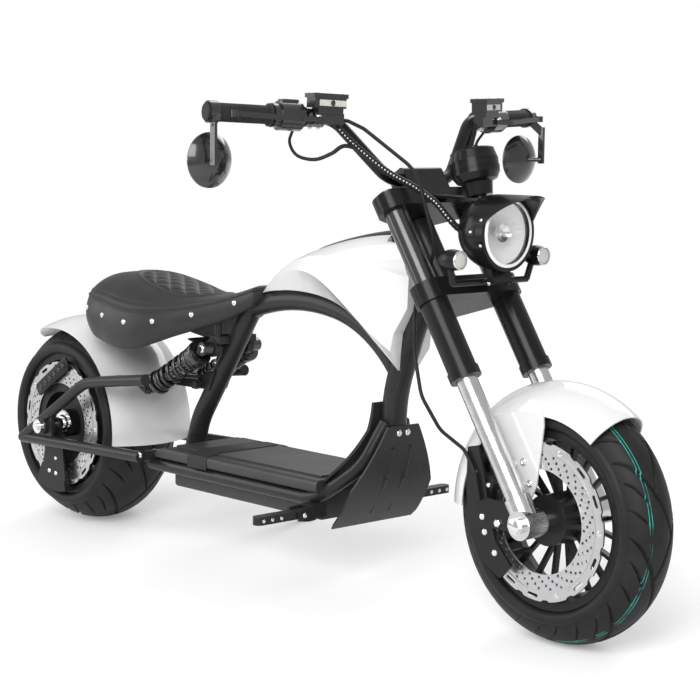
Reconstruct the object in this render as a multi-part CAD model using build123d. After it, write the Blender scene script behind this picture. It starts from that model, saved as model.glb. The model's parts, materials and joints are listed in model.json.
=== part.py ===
from build123d import *

import math
import os

# The machine is drawn upright in millimetres: X forward, Y to its left, Z up, with the
# ground point midway between the axles as origin. It is leaned on its side stand last.

# Stance
WHEELBASE = 1440.0
TYRE_RADIUS = 228.0
LEAN = 8.0
RAKE = 32.9

# Clearances: a running shaft, a seated piece and a soft piece
RUNNING = 0.05
SEATED = 0.15
SOFT = 0.4

# Wheels: half widths are measured from the wheel's middle plane
FRONT_TYRE_HALF = 57.0
REAR_TYRE_HALF = 98.0
FRONT_BEAD_HALF = 42.0
REAR_BEAD_HALF = 80.0
BEAD_RADIUS = 152.4
FLANGE_RADIUS = 162.0
FLANGE_WALL = 4.0
RIM_WALL = 5.0
AXLE_RADIUS = 10.0
HUB_RADIUS = 46.0
FRONT_HUB_HALF = 48.0
MOTOR_RADIUS = 104.0
MOTOR_HALF = 66.0
SPOKE_PAIRS = 10
SPOKE_HALF_THICKNESS = 6.0
SPOKE_WIDTH = 7.0
SPOKE_SPREAD = 9.0

# Brake discs
DISC_OUTER = 143.0
DISC_INNER = 94.0
DISC_THICKNESS = 4.0
FRONT_DISC_Y = -62.0
REAR_DISC_Y = -93.0
DISC_POST_CIRCLE = 100.0
DISC_POST_TURN = 7.9
DISC_POST_RADIUS = 5.0
DISC_BOLTS = 5
DISC_GROOVE = 126.0
CALIPER_OUTER = 157.0
CALIPER_INNER = 110.0
CALIPER_SLOT = 3.5

# Fork, in its own frame: z runs up the legs from the axle, x is ahead of them
LEG_Y = 96.0
STEM_SETBACK = 45.0
STEM_RADIUS = 15.0
LEG_TUBE_RADIUS = 22.0
LEG_SLEEVE_RADIUS = 27.5
LEG_COLLAR_RADIUS = 30.0
LEG_LOWER_RADIUS = 20.0
LEG_FOOT_RADIUS = 24.0
LEG_FOOT_TOP = 50.0
LEG_FOOT_HALF = 25.0
SLEEVE_BOTTOM = 285.0
COLLAR_HEIGHT = 18.0
LOWER_CLAMP_BOTTOM = 440.0
LOWER_CLAMP_HEIGHT = 38.0
UPPER_CLAMP_BOTTOM = 632.0
UPPER_CLAMP_HEIGHT = 34.0
CLAMP_RADIUS = 33.0
CLAMP_STEM_RADIUS = 29.0
TUBE_CAP = 6.0
RISER_BORE = (3.4, 699.3)

# Handlebar
BAR_RADIUS = 12.0
BAR_CENTRE = (343.0, 817.0)
BAR_CENTRE_HALF = 80.0
BAR_BEND = (297.0, 181.0, 930.0)
BAR_END = (235.0, 425.0, 939.0)
BAR_BEND_FILLET = 60.0
GRIP_RADIUS = 17.0
GRIP_INNER_Y = 306.0
SWITCH_RADIUS = 27.0
SWITCH_INNER_Y = 250.0
PERCH_INNER_Y = 205.0
PERCH_WIDTH = 34.0
LEVER_TIP_Y = 404.0

# Frame tubes
ARCH_TUBE_RADIUS = 21.5
DOWN_TUBE_RADIUS = 25.0
HEAD_TUBE_RADIUS = 28.0
RAIL_RADIUS = 14.0
RAIL_Y = 96.0
RAIL_Z = 186.0
CROSS_RADIUS = 11.0
CROSS_Z = 187.0
CROSS_TUBES = [-318.0, 120.0]

# Deck
DECK_REAR = -338.0
DECK_FRONT = 185.0
BOX_HALF = 80.0
BOX_BOTTOM = 140.0
COVER_BOTTOM = 202.0
COVER_TOP = 228.0
COVER_HALF = 114.0
PEG_X = 176.0
PEG_Z = 167.0
PEG_INNER_Y = 138.0
PEG_OUTER_Y = 264.0
PEG_WIDTH = 24.0
PEG_HEIGHT = 16.0
PEG_HOLES = [205.0, 228.0, 250.0]
BOARD_THICKNESS = 6.0
APRON_WALL = 4.0

# Fenders, about their wheel's axle; angles run up from straight ahead
FENDER_WALL = 3.0
FRONT_FENDER_RADIUS = 245.0
FRONT_FENDER_HALF = 67.0
FRONT_FENDER_SIDE = 57.0
FRONT_FENDER_FROM = 54.0
FRONT_FENDER_TO = 180.0
FRONT_FENDER_BOLTS = [72.0, 112.0]
REAR_FENDER_RADIUS = 248.0
REAR_FENDER_HALF = 110.0
REAR_FENDER_SIDE = 26.0
REAR_FENDER_FROM = -6.0
REAR_FENDER_TO = 131.0
REAR_FENDER_TAIL = 212.0
REAR_FENDER_TAIL_FROM = 44.0

# Swinging arm
ARM_Y = 138.0
ARM_RADIUS = 12.5
ARM_PLATE = 8.0
ARM_BOSS_HALF = 13.0
ARM_PIVOT = (-355.0, 204.0)
ARM_PIVOT_RADIUS = 12.0
ARM_SHOCK = (-410.0, 343.0)
ARM_BEND = (-560.0, 345.0)
ARM_BEND_FILLET = 160.0
ARM_TIP = (-812.0, 190.0)
ARM_FRONT = (-338.0, 373.0)
CROSS_PLATE = (-455.0, 357.0)
EAR_Y = 30.0
EAR_PIVOT = (-288.0, 362.0)
EAR_PIN_RADIUS = 7.0
FENDER_STAY = (-520.0, 352.0)

# Shocks
SHOCK_Y = 66.0
SHOCK_TOP = (-222.0, 447.0)
SPRING_RADIUS = 26.0
DAMPER_RADIUS = 14.0
SHOCK_PIN_RADIUS = 6.0
BRIDGE_RADIUS = 13.0
SEAT_POST = (-208.0, 42.0)

# Side stand: pivot on the left, foot on the ground when leaned
STAND_PIVOT = (-272.0, 128.0, 132.0)
STAND_FOOT_X = -246.0
STAND_FOOT_Y = 250.0
STAND_RADIUS = 9.0
STAND_FOOT_RADIUS = 22.0
STAND_FOOT_THICKNESS = 5.0

FRONT_AXLE = (WHEELBASE / 2, 0.0, TYRE_RADIUS)
REAR_AXLE = (-WHEELBASE / 2, 0.0, TYRE_RADIUS)
FORK = Location(FRONT_AXLE, (0, -RAKE, 0))


def tube(points, radii, radius):
    """A round bar along straight runs joined by tangent arcs, one radius for each corner."""
    path = FilletPolyline(*points, radius=radii) if radii else Polyline(*points)
    section = Plane(origin=path @ 0, z_dir=path % 0) * Circle(radius)
    return sweep(section, path=path)


def rod(start, end, radius):
    """A round bar from one point to another."""
    start, end = Vector(*start), Vector(*end)
    run = end - start
    return extrude(Plane(origin=start, z_dir=run.normalized()) * Circle(radius), run.length)


def flat(start, end, side, width, thickness):
    """A flat bar from one point to another, with side as the direction of its width."""
    start, end = Vector(*start), Vector(*end)
    run = end - start
    plane = Plane(origin=start, x_dir=Vector(*side), z_dir=run.normalized())
    return extrude(plane * Rectangle(width, thickness), run.length)


def side_plate(points, y, thickness):
    """A plate cut to an outline of x and z, with its middle plane at y."""
    outline = Polyline(*[(x, y, z) for x, z in points], close=True)
    return extrude(make_face(outline), thickness / 2, dir=(0, 1, 0), both=True)


def both_sides(solid):
    """The piece on the left with its mirror image on the right."""
    return Compound(children=[solid, mirror(solid, about=Plane.XZ)])


def ring(outer, inner, half, middle=0.0):
    """A ring about the Y axis."""
    section = Pos((outer + inner) / 2, middle) * Rectangle(outer - inner, 2 * half)
    return revolve(section, Axis.Y)


def dome(radius, rise):
    """An arc from a rim to the axis of a dome, with its centre on that axis."""
    ball = (radius ** 2 + rise ** 2) / (2 * rise)
    middle = 0.55 * radius
    return ThreePointArc((0, radius), (math.sqrt(ball ** 2 - middle ** 2) - ball + rise, middle), (rise, 0))


def at_angle(angle, radius):
    """A point of the XZ plane at an angle up from straight ahead."""
    turn = math.radians(angle)
    return radius * math.cos(turn), radius * math.sin(turn)


# Wheels

def tyre(half, bead_half, shoulder, shoulder_drop):
    """A tyre's section turned about the axle: bead, sidewall, round tread."""
    bead = (BEAD_RADIUS, bead_half)
    flange_top = (FLANGE_RADIUS + 1, bead_half)
    bulge = (TYRE_RADIUS - shoulder_drop - 14, half)
    edge = (TYRE_RADIUS - shoulder_drop, shoulder)
    over = [(r, -y) for r, y in (bead, flange_top, bulge, edge)]
    outline = Curve() + [
        Line(bead, flange_top),
        ThreePointArc(flange_top, bulge, edge),
        ThreePointArc(edge, (TYRE_RADIUS, 0), over[3]),
        ThreePointArc(over[3], over[2], over[1]),
        Line(over[1], over[0]),
        Line(over[0], bead),
    ]
    return revolve(make_face(outline), Axis.Y)


def rim_barrel(bead_half):
    """The rim's section: two flanges, two bead seats and the well between them."""
    seat = BEAD_RADIUS - SEATED
    lip = bead_half + SEATED
    outer = lip + FLANGE_WALL
    well = seat - 9
    half_section = [
        (FLANGE_RADIUS, outer),
        (FLANGE_RADIUS, lip),
        (seat, lip),
        (seat, bead_half - 12),
        (well, bead_half - 24),
    ]
    inner = [(seat - RIM_WALL, outer), (well - RIM_WALL, bead_half - 20)]
    outline = half_section + [(r, -y) for r, y in reversed(half_section)]
    outline += [(r, -y) for r, y in inner] + list(reversed(inner))
    return revolve(make_face(Polyline(*outline, close=True)), Axis.Y)


def spokes(root_radius, rim_radius, middle):
    """Pairs of straight spokes that spread from the hub to the rim, in one plane."""
    blades = Sketch()
    for pair in range(SPOKE_PAIRS):
        angle = 360 / SPOKE_PAIRS * pair
        for side in (-1, 1):
            root = Vector(*at_angle(angle + side * 3, root_radius))
            tip = Vector(*at_angle(angle + side * SPOKE_SPREAD, rim_radius))
            run = tip - root
            place = Plane(origin=(root + tip) / 2, x_dir=run.normalized(), z_dir=(0, 0, 1))
            blades += place * Rectangle(run.length, SPOKE_WIDTH)
    wheel_plane = Plane(origin=(0, middle, 0), x_dir=(1, 0, 0), z_dir=(0, -1, 0))
    return extrude(wheel_plane * blades, SPOKE_HALF_THICKNESS, both=True)


def disc_posts(start_y, end_y):
    """Posts on the spokes that carry the disc by its inner edge."""
    posts = []
    for index in range(DISC_BOLTS):
        x, z = at_angle(360 / DISC_BOLTS * index + DISC_POST_TURN, DISC_POST_CIRCLE)
        posts.append(rod((x, start_y, z), (x, end_y, z), DISC_POST_RADIUS))
    return posts


def front_rim():
    """Cast front wheel: barrel, paired spokes, hub and the posts of its disc."""
    barrel_inner = BEAD_RADIUS - SEATED - 9 - RIM_WALL
    wheel = rim_barrel(FRONT_BEAD_HALF) + spokes(HUB_RADIUS - 3, barrel_inner + 2, 0)
    wheel += ring(HUB_RADIUS, AXLE_RADIUS + RUNNING, FRONT_HUB_HALF)
    for post in disc_posts(0, FRONT_DISC_Y + DISC_THICKNESS / 2):
        wheel += post
    return wheel - ring(AXLE_RADIUS + RUNNING, 0.01, FRONT_HUB_HALF + 1)


def rear_rim():
    """Cast rear wheel: barrel and paired spokes outside the hub motor."""
    barrel_inner = BEAD_RADIUS - SEATED - 9 - RIM_WALL
    wheel = rim_barrel(REAR_BEAD_HALF)
    wheel += spokes(MOTOR_RADIUS - 2, barrel_inner + 2, 0)
    wheel += ring(MOTOR_RADIUS + 4, MOTOR_RADIUS + SEATED, SPOKE_HALF_THICKNESS)
    return wheel - ring(MOTOR_RADIUS + SEATED, 0.01, MOTOR_HALF + 10)


def hub_motor():
    """Hub motor: a drum with bevelled covers, a centre boss and the disc's carrier."""
    section = [
        (AXLE_RADIUS + RUNNING, -MOTOR_HALF - 22),
        (AXLE_RADIUS + 22, -MOTOR_HALF - 22),
        (AXLE_RADIUS + 22, -MOTOR_HALF),
        (MOTOR_RADIUS - 14, -MOTOR_HALF),
        (MOTOR_RADIUS, -MOTOR_HALF + 14),
        (MOTOR_RADIUS, MOTOR_HALF - 14),
        (MOTOR_RADIUS - 14, MOTOR_HALF),
        (AXLE_RADIUS + 22, MOTOR_HALF),
        (AXLE_RADIUS + 22, MOTOR_HALF + 22),
        (AXLE_RADIUS + RUNNING, MOTOR_HALF + 22),
    ]
    drum = revolve(make_face(Polyline(*section, close=True)), Axis.Y)
    drum += ring(DISC_INNER + 10, MOTOR_RADIUS - 30, 12, -MOTOR_HALF - 12)
    drum += ring(DISC_INNER + 10, MOTOR_RADIUS - 30, 6, REAR_DISC_Y + DISC_THICKNESS / 2 + 6)
    return drum


def brake_disc(middle):
    """A ring with lobes at its bolts, two slots between them and a groove further in."""
    disc = ring(DISC_OUTER, DISC_INNER, DISC_THICKNESS / 2, middle)
    disc -= ring(DISC_GROOVE + 1, DISC_GROOVE - 1, 0.6, middle - DISC_THICKNESS / 2)
    step = 360 / DISC_BOLTS
    for index in range(DISC_BOLTS):
        for share in (1 / 3, 2 / 3):
            x, z = at_angle(step * (index + share), DISC_OUTER - 8.5)
            place = Plane(origin=(x, middle, z), x_dir=(-z, 0, x), z_dir=(0, 1, 0))
            disc -= extrude(place * SlotOverall(24, 5.5), DISC_THICKNESS, both=True)
        for share in (1 / 6, 1 / 2, 5 / 6):
            x, z = at_angle(step * (index + share), DISC_OUTER + 10)
            disc -= rod((x, middle - DISC_THICKNESS, z), (x, middle + DISC_THICKNESS, z), 13)
    return disc


# Fork and clamps, in the fork's own frame

def clamp(bottom, height):
    """A clamp that joins both legs to the stem, with a rounded outline."""
    outline = Sketch() + [Pos(0, side * LEG_Y) * Circle(CLAMP_RADIUS) for side in (-1, 1)]
    outline += Pos(-STEM_SETBACK, 0) * Circle(CLAMP_STEM_RADIUS)
    plate = extrude(Pos(0, 0, bottom) * make_hull(outline.edges()), height)
    for side in (-1, 1):
        bore = LEG_TUBE_RADIUS + SEATED
        plate -= Pos(0, side * LEG_Y, bottom) * Cylinder(bore, 3 * height)
    return plate


def lower_clamp():
    """Lower clamp with the steering stem that turns in the head tube."""
    top = UPPER_CLAMP_BOTTOM + UPPER_CLAMP_HEIGHT
    stem = rod((-STEM_SETBACK, 0, LOWER_CLAMP_BOTTOM), (-STEM_SETBACK, 0, top), STEM_RADIUS)
    return FORK * (clamp(LOWER_CLAMP_BOTTOM, LOWER_CLAMP_HEIGHT) + stem)


def upper_clamp():
    """Upper clamp on the stem's end, with the block that holds the bar."""
    plate = clamp(UPPER_CLAMP_BOTTOM, UPPER_CLAMP_HEIGHT)
    plate -= Pos(-STEM_SETBACK, 0, UPPER_CLAMP_BOTTOM) * Cylinder(STEM_RADIUS + SEATED, 100)
    bar_x, bar_z = RISER_BORE
    foot, top = UPPER_CLAMP_BOTTOM + UPPER_CLAMP_HEIGHT - 1, bar_z + 20
    block = Pos(bar_x - 4, 0, (foot + top) / 2) * Box(44, 104, top - foot)
    block = fillet(block.edges().filter_by(Axis.Y).group_by(Axis.Z)[-1], 8)
    return FORK * (plate + block) - bar_tube(SEATED)


def fork_tubes():
    """Upper fork tubes with their caps above the upper clamp."""
    top = UPPER_CLAMP_BOTTOM + UPPER_CLAMP_HEIGHT + TUBE_CAP
    leg = rod((0, LEG_Y, LOWER_CLAMP_BOTTOM), (0, LEG_Y, top), LEG_TUBE_RADIUS)
    return FORK * both_sides(leg)


def fork_sleeves():
    """Sleeves below the lower clamp, each with a collar at its lower end."""
    bottom, top = SLEEVE_BOTTOM, LOWER_CLAMP_BOTTOM
    sleeve = rod((0, LEG_Y, bottom), (0, LEG_Y, top), LEG_SLEEVE_RADIUS)
    sleeve += rod((0, LEG_Y, bottom), (0, LEG_Y, bottom + COLLAR_HEIGHT), LEG_COLLAR_RADIUS)
    bore = LEG_LOWER_RADIUS + SEATED
    sleeve -= rod((0, LEG_Y, bottom - 1), (0, LEG_Y, top + 1), bore)
    return FORK * both_sides(sleeve)


def fork_lowers():
    """Bright lower legs that slide in the sleeves, with the axle blocks at their ends."""
    leg = rod((0, LEG_Y, LEG_FOOT_TOP - 1), (0, LEG_Y, LOWER_CLAMP_BOTTOM), LEG_LOWER_RADIUS)
    leg += rod((0, LEG_Y, 0), (0, LEG_Y, LEG_FOOT_TOP), LEG_FOOT_RADIUS)
    leg += rod((0, LEG_Y - LEG_FOOT_HALF, 0), (0, LEG_Y + LEG_FOOT_HALF, 0), LEG_FOOT_RADIUS + 2)
    leg -= rod((0, LEG_Y - 40, 0), (0, LEG_Y + 40, 0), AXLE_RADIUS + SEATED)
    return FORK * both_sides(leg)


def front_axle():
    """Front axle with its spacers and nuts."""
    foot_out, foot_in = LEG_Y + LEG_FOOT_HALF + SEATED, LEG_Y - LEG_FOOT_HALF - SEATED
    end = foot_out + 13
    axle = rod((0, -end, 0), (0, end, 0), AXLE_RADIUS)
    nut = rod((0, foot_out, 0), (0, foot_out + 9, 0), AXLE_RADIUS + 5)
    spacer = rod((0, FRONT_HUB_HALF + 0.3, 0), (0, foot_in, 0), AXLE_RADIUS + 5)
    for piece in (nut, spacer):
        axle += piece
        axle += mirror(piece, about=Plane.XZ)
    return Pos(*FRONT_AXLE) * axle


# Handlebar and controls

def bar_points():
    """The handlebar's corners from its right end to its left end."""
    left = [(BAR_CENTRE[0], BAR_CENTRE_HALF, BAR_CENTRE[1]), BAR_BEND, BAR_END]
    return [(x, -y, z) for x, y, z in reversed(left)] + left


def on_grip(y):
    """The point of the left end run of the bar at a distance y from the middle."""
    share = (y - BAR_BEND[1]) / (BAR_END[1] - BAR_BEND[1])
    return tuple(a + (b - a) * share for a, b in zip(BAR_BEND, BAR_END))


def beside_grip(y, ahead, above):
    """A point ahead of and above the left end run of the bar."""
    x, y, z = on_grip(y)
    return x + ahead, y, z + above


def bar_tube(extra):
    """The bent bar, thicker by extra."""
    return tube(bar_points(), [BAR_BEND_FILLET] * 4, BAR_RADIUS + extra)


def handlebar():
    """Bent tube from grip to grip."""
    return bar_tube(0)


def on_bar(inner, outer, radius):
    """A sleeve round the left end run of the bar."""
    start, end = on_grip(inner), on_grip(outer)
    run = (Vector(*end) - Vector(*start)).normalized()
    sleeve = rod(start, end, radius)
    start, end = Vector(*start) - run * 5, Vector(*end) + run * 5
    return sleeve - rod(tuple(start), tuple(end), BAR_RADIUS + SEATED)


def grips():
    """Rubber grips with an end flange."""
    grip = on_bar(GRIP_INNER_Y, BAR_END[1], GRIP_RADIUS)
    grip += on_bar(GRIP_INNER_Y, GRIP_INNER_Y + 6, GRIP_RADIUS + 4)
    grip += rod(BAR_END, on_grip(BAR_END[1] + 7), GRIP_RADIUS)
    return both_sides(grip)


def switches():
    """Switch housings beside the grips."""
    housing = on_bar(SWITCH_INNER_Y, GRIP_INNER_Y - 14, SWITCH_RADIUS)
    housing += on_bar(SWITCH_INNER_Y - 5, GRIP_INNER_Y - 1, SWITCH_RADIUS - 5)
    inner, outer = SWITCH_INNER_Y + 6, GRIP_INNER_Y - 20
    start, end = beside_grip(inner, 0, SWITCH_RADIUS), beside_grip(outer, 0, SWITCH_RADIUS)
    housing += flat(start, end, (1, 0, 0), 22, 6)
    return both_sides(housing)


def brake_controls():
    """Master cylinders with reservoirs, and the levers they carry."""
    control = on_bar(PERCH_INNER_Y, PERCH_INNER_Y + PERCH_WIDTH, BAR_RADIUS + 6)
    inner, outer = PERCH_INNER_Y - 22, PERCH_INNER_Y + PERCH_WIDTH + 2
    for start, end, width, thickness in (
        ((inner, 24, -2), (outer, 24, -2), 22, 20),
        ((inner + 4, 26, 12), (outer - 4, 26, 12), 26, 10),
        ((inner, 26, 26), (outer + 4, 26, 26), 34, 18),
        ((inner - 3, 26, 39), (outer + 7, 26, 39), 38, 8),
        ((outer - 6, 34, -4), (SWITCH_INNER_Y + 30, 46, -6), 13, 9),
        ((SWITCH_INNER_Y + 26, 46, -6), (LEVER_TIP_Y, 44, -2), 10, 9),
    ):
        control += flat(beside_grip(*start), beside_grip(*end), (1, 0, 0), width, thickness)
    control += rod(beside_grip(LEVER_TIP_Y, 44, -8), beside_grip(LEVER_TIP_Y, 44, 4), 8)
    return both_sides(control - bar_tube(SEATED))


# Lamps and instruments

LAMP_CENTRE = (568.0, 727.0)
LAMP_RADIUS = 70.0
LAMP_LENS_RADIUS = 58.0
LAMP_DEPTH = 96.0
LAMP_VISOR = 64.0
LAMP_WALL = 4.0
CUP_PLACE = (500.0, 0.0, 792.0)
CUP_TIP = 15.7
INDICATOR_CENTRE = (534.0, 681.0)
INDICATOR_Y = 112.0
INDICATOR_RADIUS = 19.0


def lamp_bucket(extra):
    """The bucket's outer form, solid and thicker by extra."""
    back, radius = -LAMP_DEPTH - extra, LAMP_RADIUS + extra
    outline = Curve() + [
        Line((back, 0), (back, 20 + extra)),
        ThreePointArc((back, 20 + extra), (-66, 56 + extra), (-18, radius)),
        Polyline((-18, radius), (4, radius), (4, 0), (back, 0)),
    ]
    return revolve(make_face(outline), Axis.X)


def headlight_housing():
    """Bullet-shaped bucket turned about the beam's line, with a visor over the lens."""
    mouth = [(5, 0), (5, LAMP_LENS_RADIUS), (-24, LAMP_LENS_RADIUS), (-40, 0)]
    bucket = lamp_bucket(0) - revolve(make_face(Polyline(*mouth, close=True)), Axis.X)
    shell = Pos(LAMP_VISOR / 2 + 2, 0, 0) * Rot(0, 90, 0) * (
        Cylinder(LAMP_RADIUS, LAMP_VISOR + 4) - Cylinder(LAMP_RADIUS - LAMP_WALL, LAMP_VISOR + 10)
    )
    edge = Curve() + [
        ThreePointArc((0, 14), (LAMP_VISOR * 0.5, 46), (LAMP_VISOR + 6, 66)),
        Polyline((LAMP_VISOR + 6, 66), (LAMP_VISOR + 6, 90), (0, 90), (0, 14)),
    ]
    housing = bucket + (shell & extrude(Plane.XZ * make_face(edge), 100, both=True))
    return Pos(LAMP_CENTRE[0], 0, LAMP_CENTRE[1]) * housing


def headlight_lens():
    """Domed lens in the bucket's mouth."""
    radius = LAMP_LENS_RADIUS - SEATED
    outline = Curve() + [
        Line((-6, 0), (-6, radius)),
        Line((-6, radius), (0, radius)),
        dome(radius, 10),
        Line((10, 0), (-6, 0)),
    ]
    return Pos(LAMP_CENTRE[0], 0, LAMP_CENTRE[1]) * revolve(make_face(outline), Axis.X)


def speedometer():
    """Round drum on a smaller cup, tipped back to face the rider."""
    outline = [(0, 0), (24, 0), (28, 24), (38, 28), (45, 40), (45, 66), (41, 82), (0, 82)]
    cup = revolve(make_face(Polyline(*outline, close=True)), Axis.Y)
    return Location(CUP_PLACE, (0, -CUP_TIP, 0)) * (Rot(90, 0, 0) * cup)


def lamp_bracket():
    """Stays from both clamps that carry the headlight, the speedometer and the indicators."""
    low = flat((20, 0, 464), (92, 0, 434), (0, 1, 0), 60, 5)
    low += flat((84, 0, 430), (92, 0, 475), (0, 1, 0), 50, 14)
    low += rod((62, -100, 447), (62, 100, 447), 6)
    for side in (-1, 1):
        low += rod((62, side * 100, 447), (90, side * INDICATOR_Y, 481), 6)
    high = flat((385, 0, 789), (516, 0, 786), (0, 1, 0), 40, 5)
    cup = Location(CUP_PLACE, (0, -CUP_TIP, 0))
    high += cup * Pos(0, 0, -5) * Cylinder(12, 10)
    high -= cup * Pos(0, 0, 50 - SEATED) * Cylinder(25, 100)
    behind = Pos(CLAMP_RADIUS + SEATED - 60, 0, 550) * Box(120, 80, 400)
    stays = FORK * (low - behind) + (high - FORK * behind)
    stays -= Pos(LAMP_CENTRE[0], 0, LAMP_CENTRE[1]) * lamp_bucket(SEATED)
    return stays - indicator_bodies(SEATED)


def indicator_bodies(extra):
    """Both bullets, thicker by extra."""
    x, z = INDICATOR_CENTRE
    radius = INDICATOR_RADIUS + extra
    outline = Curve() + [
        ThreePointArc((-30 - extra, 0), (-12, radius * 0.78), (12, radius)),
        Polyline((12, radius), (26 + extra, radius - 2), (26 + extra, 0), (-30 - extra, 0)),
    ]
    return both_sides(Pos(x, INDICATOR_Y, z) * revolve(make_face(outline), Axis.X))


def indicators():
    """Bullet indicators beside the headlight."""
    return indicator_bodies(0)


# Mirrors

MIRROR_CENTRE = (225.0, 413.0, 853.0)
MIRROR_RADIUS = 50.0
MIRROR_DEPTH = 22.0
MIRROR_ELBOW = (264.0, 436.0, 912.0)
MIRROR_CLAMP_RADIUS = 20.0


def mirrors():
    """Round mirror backs on flat arms clamped to the grips' ends."""
    x, y, z = MIRROR_CENTRE
    elbow_x, elbow_y, elbow_z = MIRROR_ELBOW
    end = BAR_END[1]
    arm = rod(on_grip(end - 16), on_grip(end + 2), MIRROR_CLAMP_RADIUS)
    arm += flat(beside_grip(end - 7, 8, -4), (elbow_x, elbow_y, elbow_z - 2), (0, 0, 1), 16, 6)
    arm += flat((elbow_x, elbow_y, elbow_z + 8), (elbow_x, elbow_y, z - 8), (1, 0, 0), 13, 6)
    arm += rod((elbow_x, elbow_y, z), (x + MIRROR_DEPTH - 6, y + 4, z), 5)
    arm -= rod(on_grip(end - 30), on_grip(end + 30), GRIP_RADIUS + SEATED)
    outline = Curve() + [
        Line((-3, 0), (-3, MIRROR_RADIUS)),
        Line((-3, MIRROR_RADIUS), (0, MIRROR_RADIUS)),
        dome(MIRROR_RADIUS, MIRROR_DEPTH),
        Line((MIRROR_DEPTH, 0), (-3, 0)),
    ]
    head = Pos(x, y, z) * revolve(make_face(outline), Axis.X)
    return both_sides(arm + head)


def mirror_glass():
    """Mirror faces towards the rider."""
    x, y, z = MIRROR_CENTRE
    return both_sides(rod((x - 5, y, z), (x - 3, y, z), MIRROR_RADIUS - 3))


# Fenders

FENDER_TONGUE = [
    # x and z, from the fender's edge down to the leg and back
    (584, 372),
    (600, 400),
    (660, 418),
    (724, 424),
    (726, 400),
    (712, 290),
    (700, 266),
    (682, 262),
    (664, 284),
]


def fender(radius, half, side, start, sweep_angle):
    """A curved sheet about the axle: round crown with sides that turn down."""
    inner = radius - FENDER_WALL
    inner_half = half - FENDER_WALL
    rim = radius - side
    outline = Curve() + [
        ThreePointArc((rim, half), (radius, 0), (rim, -half)),
        Line((rim, -half), (rim, -inner_half)),
        ThreePointArc((rim, -inner_half), (inner, 0), (rim, inner_half)),
        Line((rim, inner_half), (rim, half)),
    ]
    upward = Axis((0, 0, 0), (0, -1, 0))
    section = make_face(outline).rotate(upward, start)
    return revolve(section, upward, sweep_angle)


def front_fender():
    """Front fender with a tongue each side that bolts to the leg."""
    sheet = fender(FRONT_FENDER_RADIUS, FRONT_FENDER_HALF, FRONT_FENDER_SIDE,
                   FRONT_FENDER_FROM, FRONT_FENDER_TO - FRONT_FENDER_FROM)
    sheet = Pos(*FRONT_AXLE) * sheet
    tongue = side_plate(FENDER_TONGUE, FRONT_FENDER_HALF - 1, FENDER_WALL)
    leg = rod((0, LEG_Y, 0), (0, LEG_Y, 300), LEG_LOWER_RADIUS + SEATED)
    for height in FRONT_FENDER_BOLTS:
        tongue += FORK * (rod((0, FRONT_FENDER_HALF - 1, height), (0, LEG_Y - 10, height), 7) - leg)
    return sheet + tongue + mirror(tongue, about=Plane.XZ)


def rear_fender_room(extra):
    """Everything within the rear fender's outer face, moved outwards by extra."""
    half, radius = REAR_FENDER_HALF + extra, REAR_FENDER_RADIUS + extra
    rim = REAR_FENDER_RADIUS - REAR_FENDER_SIDE
    outline = Curve() + [
        ThreePointArc((rim, half), (radius, 0), (rim, -half)),
        Line((rim, -half), (0, -half)),
        Line((0, -half), (0, half)),
        Line((0, half), (rim, half)),
    ]
    return Pos(*REAR_AXLE) * revolve(make_face(outline), Axis.Y)


def rear_fender():
    """Rear fender, from ahead of the tyre at axle height to behind its top."""
    sheet = fender(REAR_FENDER_RADIUS, REAR_FENDER_HALF, REAR_FENDER_SIDE,
                   REAR_FENDER_FROM, REAR_FENDER_TO - REAR_FENDER_FROM)
    half = REAR_FENDER_HALF + 2
    plan = Ellipse(REAR_FENDER_TAIL, half) + Pos(400, 0) * Rectangle(800, 2 * half)
    return Pos(*REAR_AXLE) * (sheet & extrude(Pos(REAR_FENDER_TAIL_FROM, 0, -60) * plan, 400))


# Frame

LEG_POINTS = [(-345, 205), (-318, 283), (-144.3, 537.7)]
LEG_FILLETS = [150, 34]
ARCH_START = (-100.0, 548.7)
ARCH_SLOPE = 13.9
ARCH_ARCS = [
    # radius, angle turned
    (506.7, 24.6),
    (302.8, 42.3),
]
DOWN_POINTS = [(394, 652), (331, 526), (284, 400), (283, 318)]
DOWN_RADII = [260, 300]
RAIL_POINTS = [(-370, RAIL_Y, RAIL_Z), (165, RAIL_Y, RAIL_Z), (262, 62, 262), (284, 22, 346)]
RAIL_RADII = [110, 90]


def in_middle(points):
    """Points of the middle plane from pairs of x and z."""
    return [(x, 0, z) for x, z in points]


def head_tube(extra):
    """Steering head between the clamps."""
    bottom = LOWER_CLAMP_BOTTOM + LOWER_CLAMP_HEIGHT + 1.5 - extra
    top = UPPER_CLAMP_BOTTOM - 1.5 + extra
    radius = HEAD_TUBE_RADIUS + extra
    return FORK * rod((-STEM_SETBACK, 0, bottom), (-STEM_SETBACK, 0, top), radius)


def arch_arcs(offset):
    """The arch's two tangent arcs in x and z, moved outwards by an offset."""
    slope = math.radians(ARCH_SLOPE)
    start = (ARCH_START[0] - offset * math.sin(slope), ARCH_START[1] + offset * math.cos(slope))
    heading = (math.cos(slope), math.sin(slope))
    arcs = []
    for radius, turned in ARCH_ARCS:
        arc = JernArc(start, heading, radius + offset, -turned)
        arcs.append(arc)
        start, heading = arc @ 1, arc % 1
    return arcs


def arch_tube(extra):
    """Tube from the deck up the rear leg and over the arch, thicker by extra."""
    leg = FilletPolyline(*LEG_POINTS, ARCH_START, radius=LEG_FILLETS)
    line = Plane.XZ * (Curve() + [leg] + arch_arcs(0))
    section = Plane(origin=line @ 0, z_dir=line % 0) * Circle(ARCH_TUBE_RADIUS + extra)
    return sweep(section, path=line)


def loop_tubes(extra):
    """Arch with the rear leg, the down tube and the steering head, thicker by extra."""
    tubes = arch_tube(extra)
    tubes += tube(in_middle(DOWN_POINTS), DOWN_RADII, DOWN_TUBE_RADIUS + extra)
    return tubes + head_tube(extra)


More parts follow.
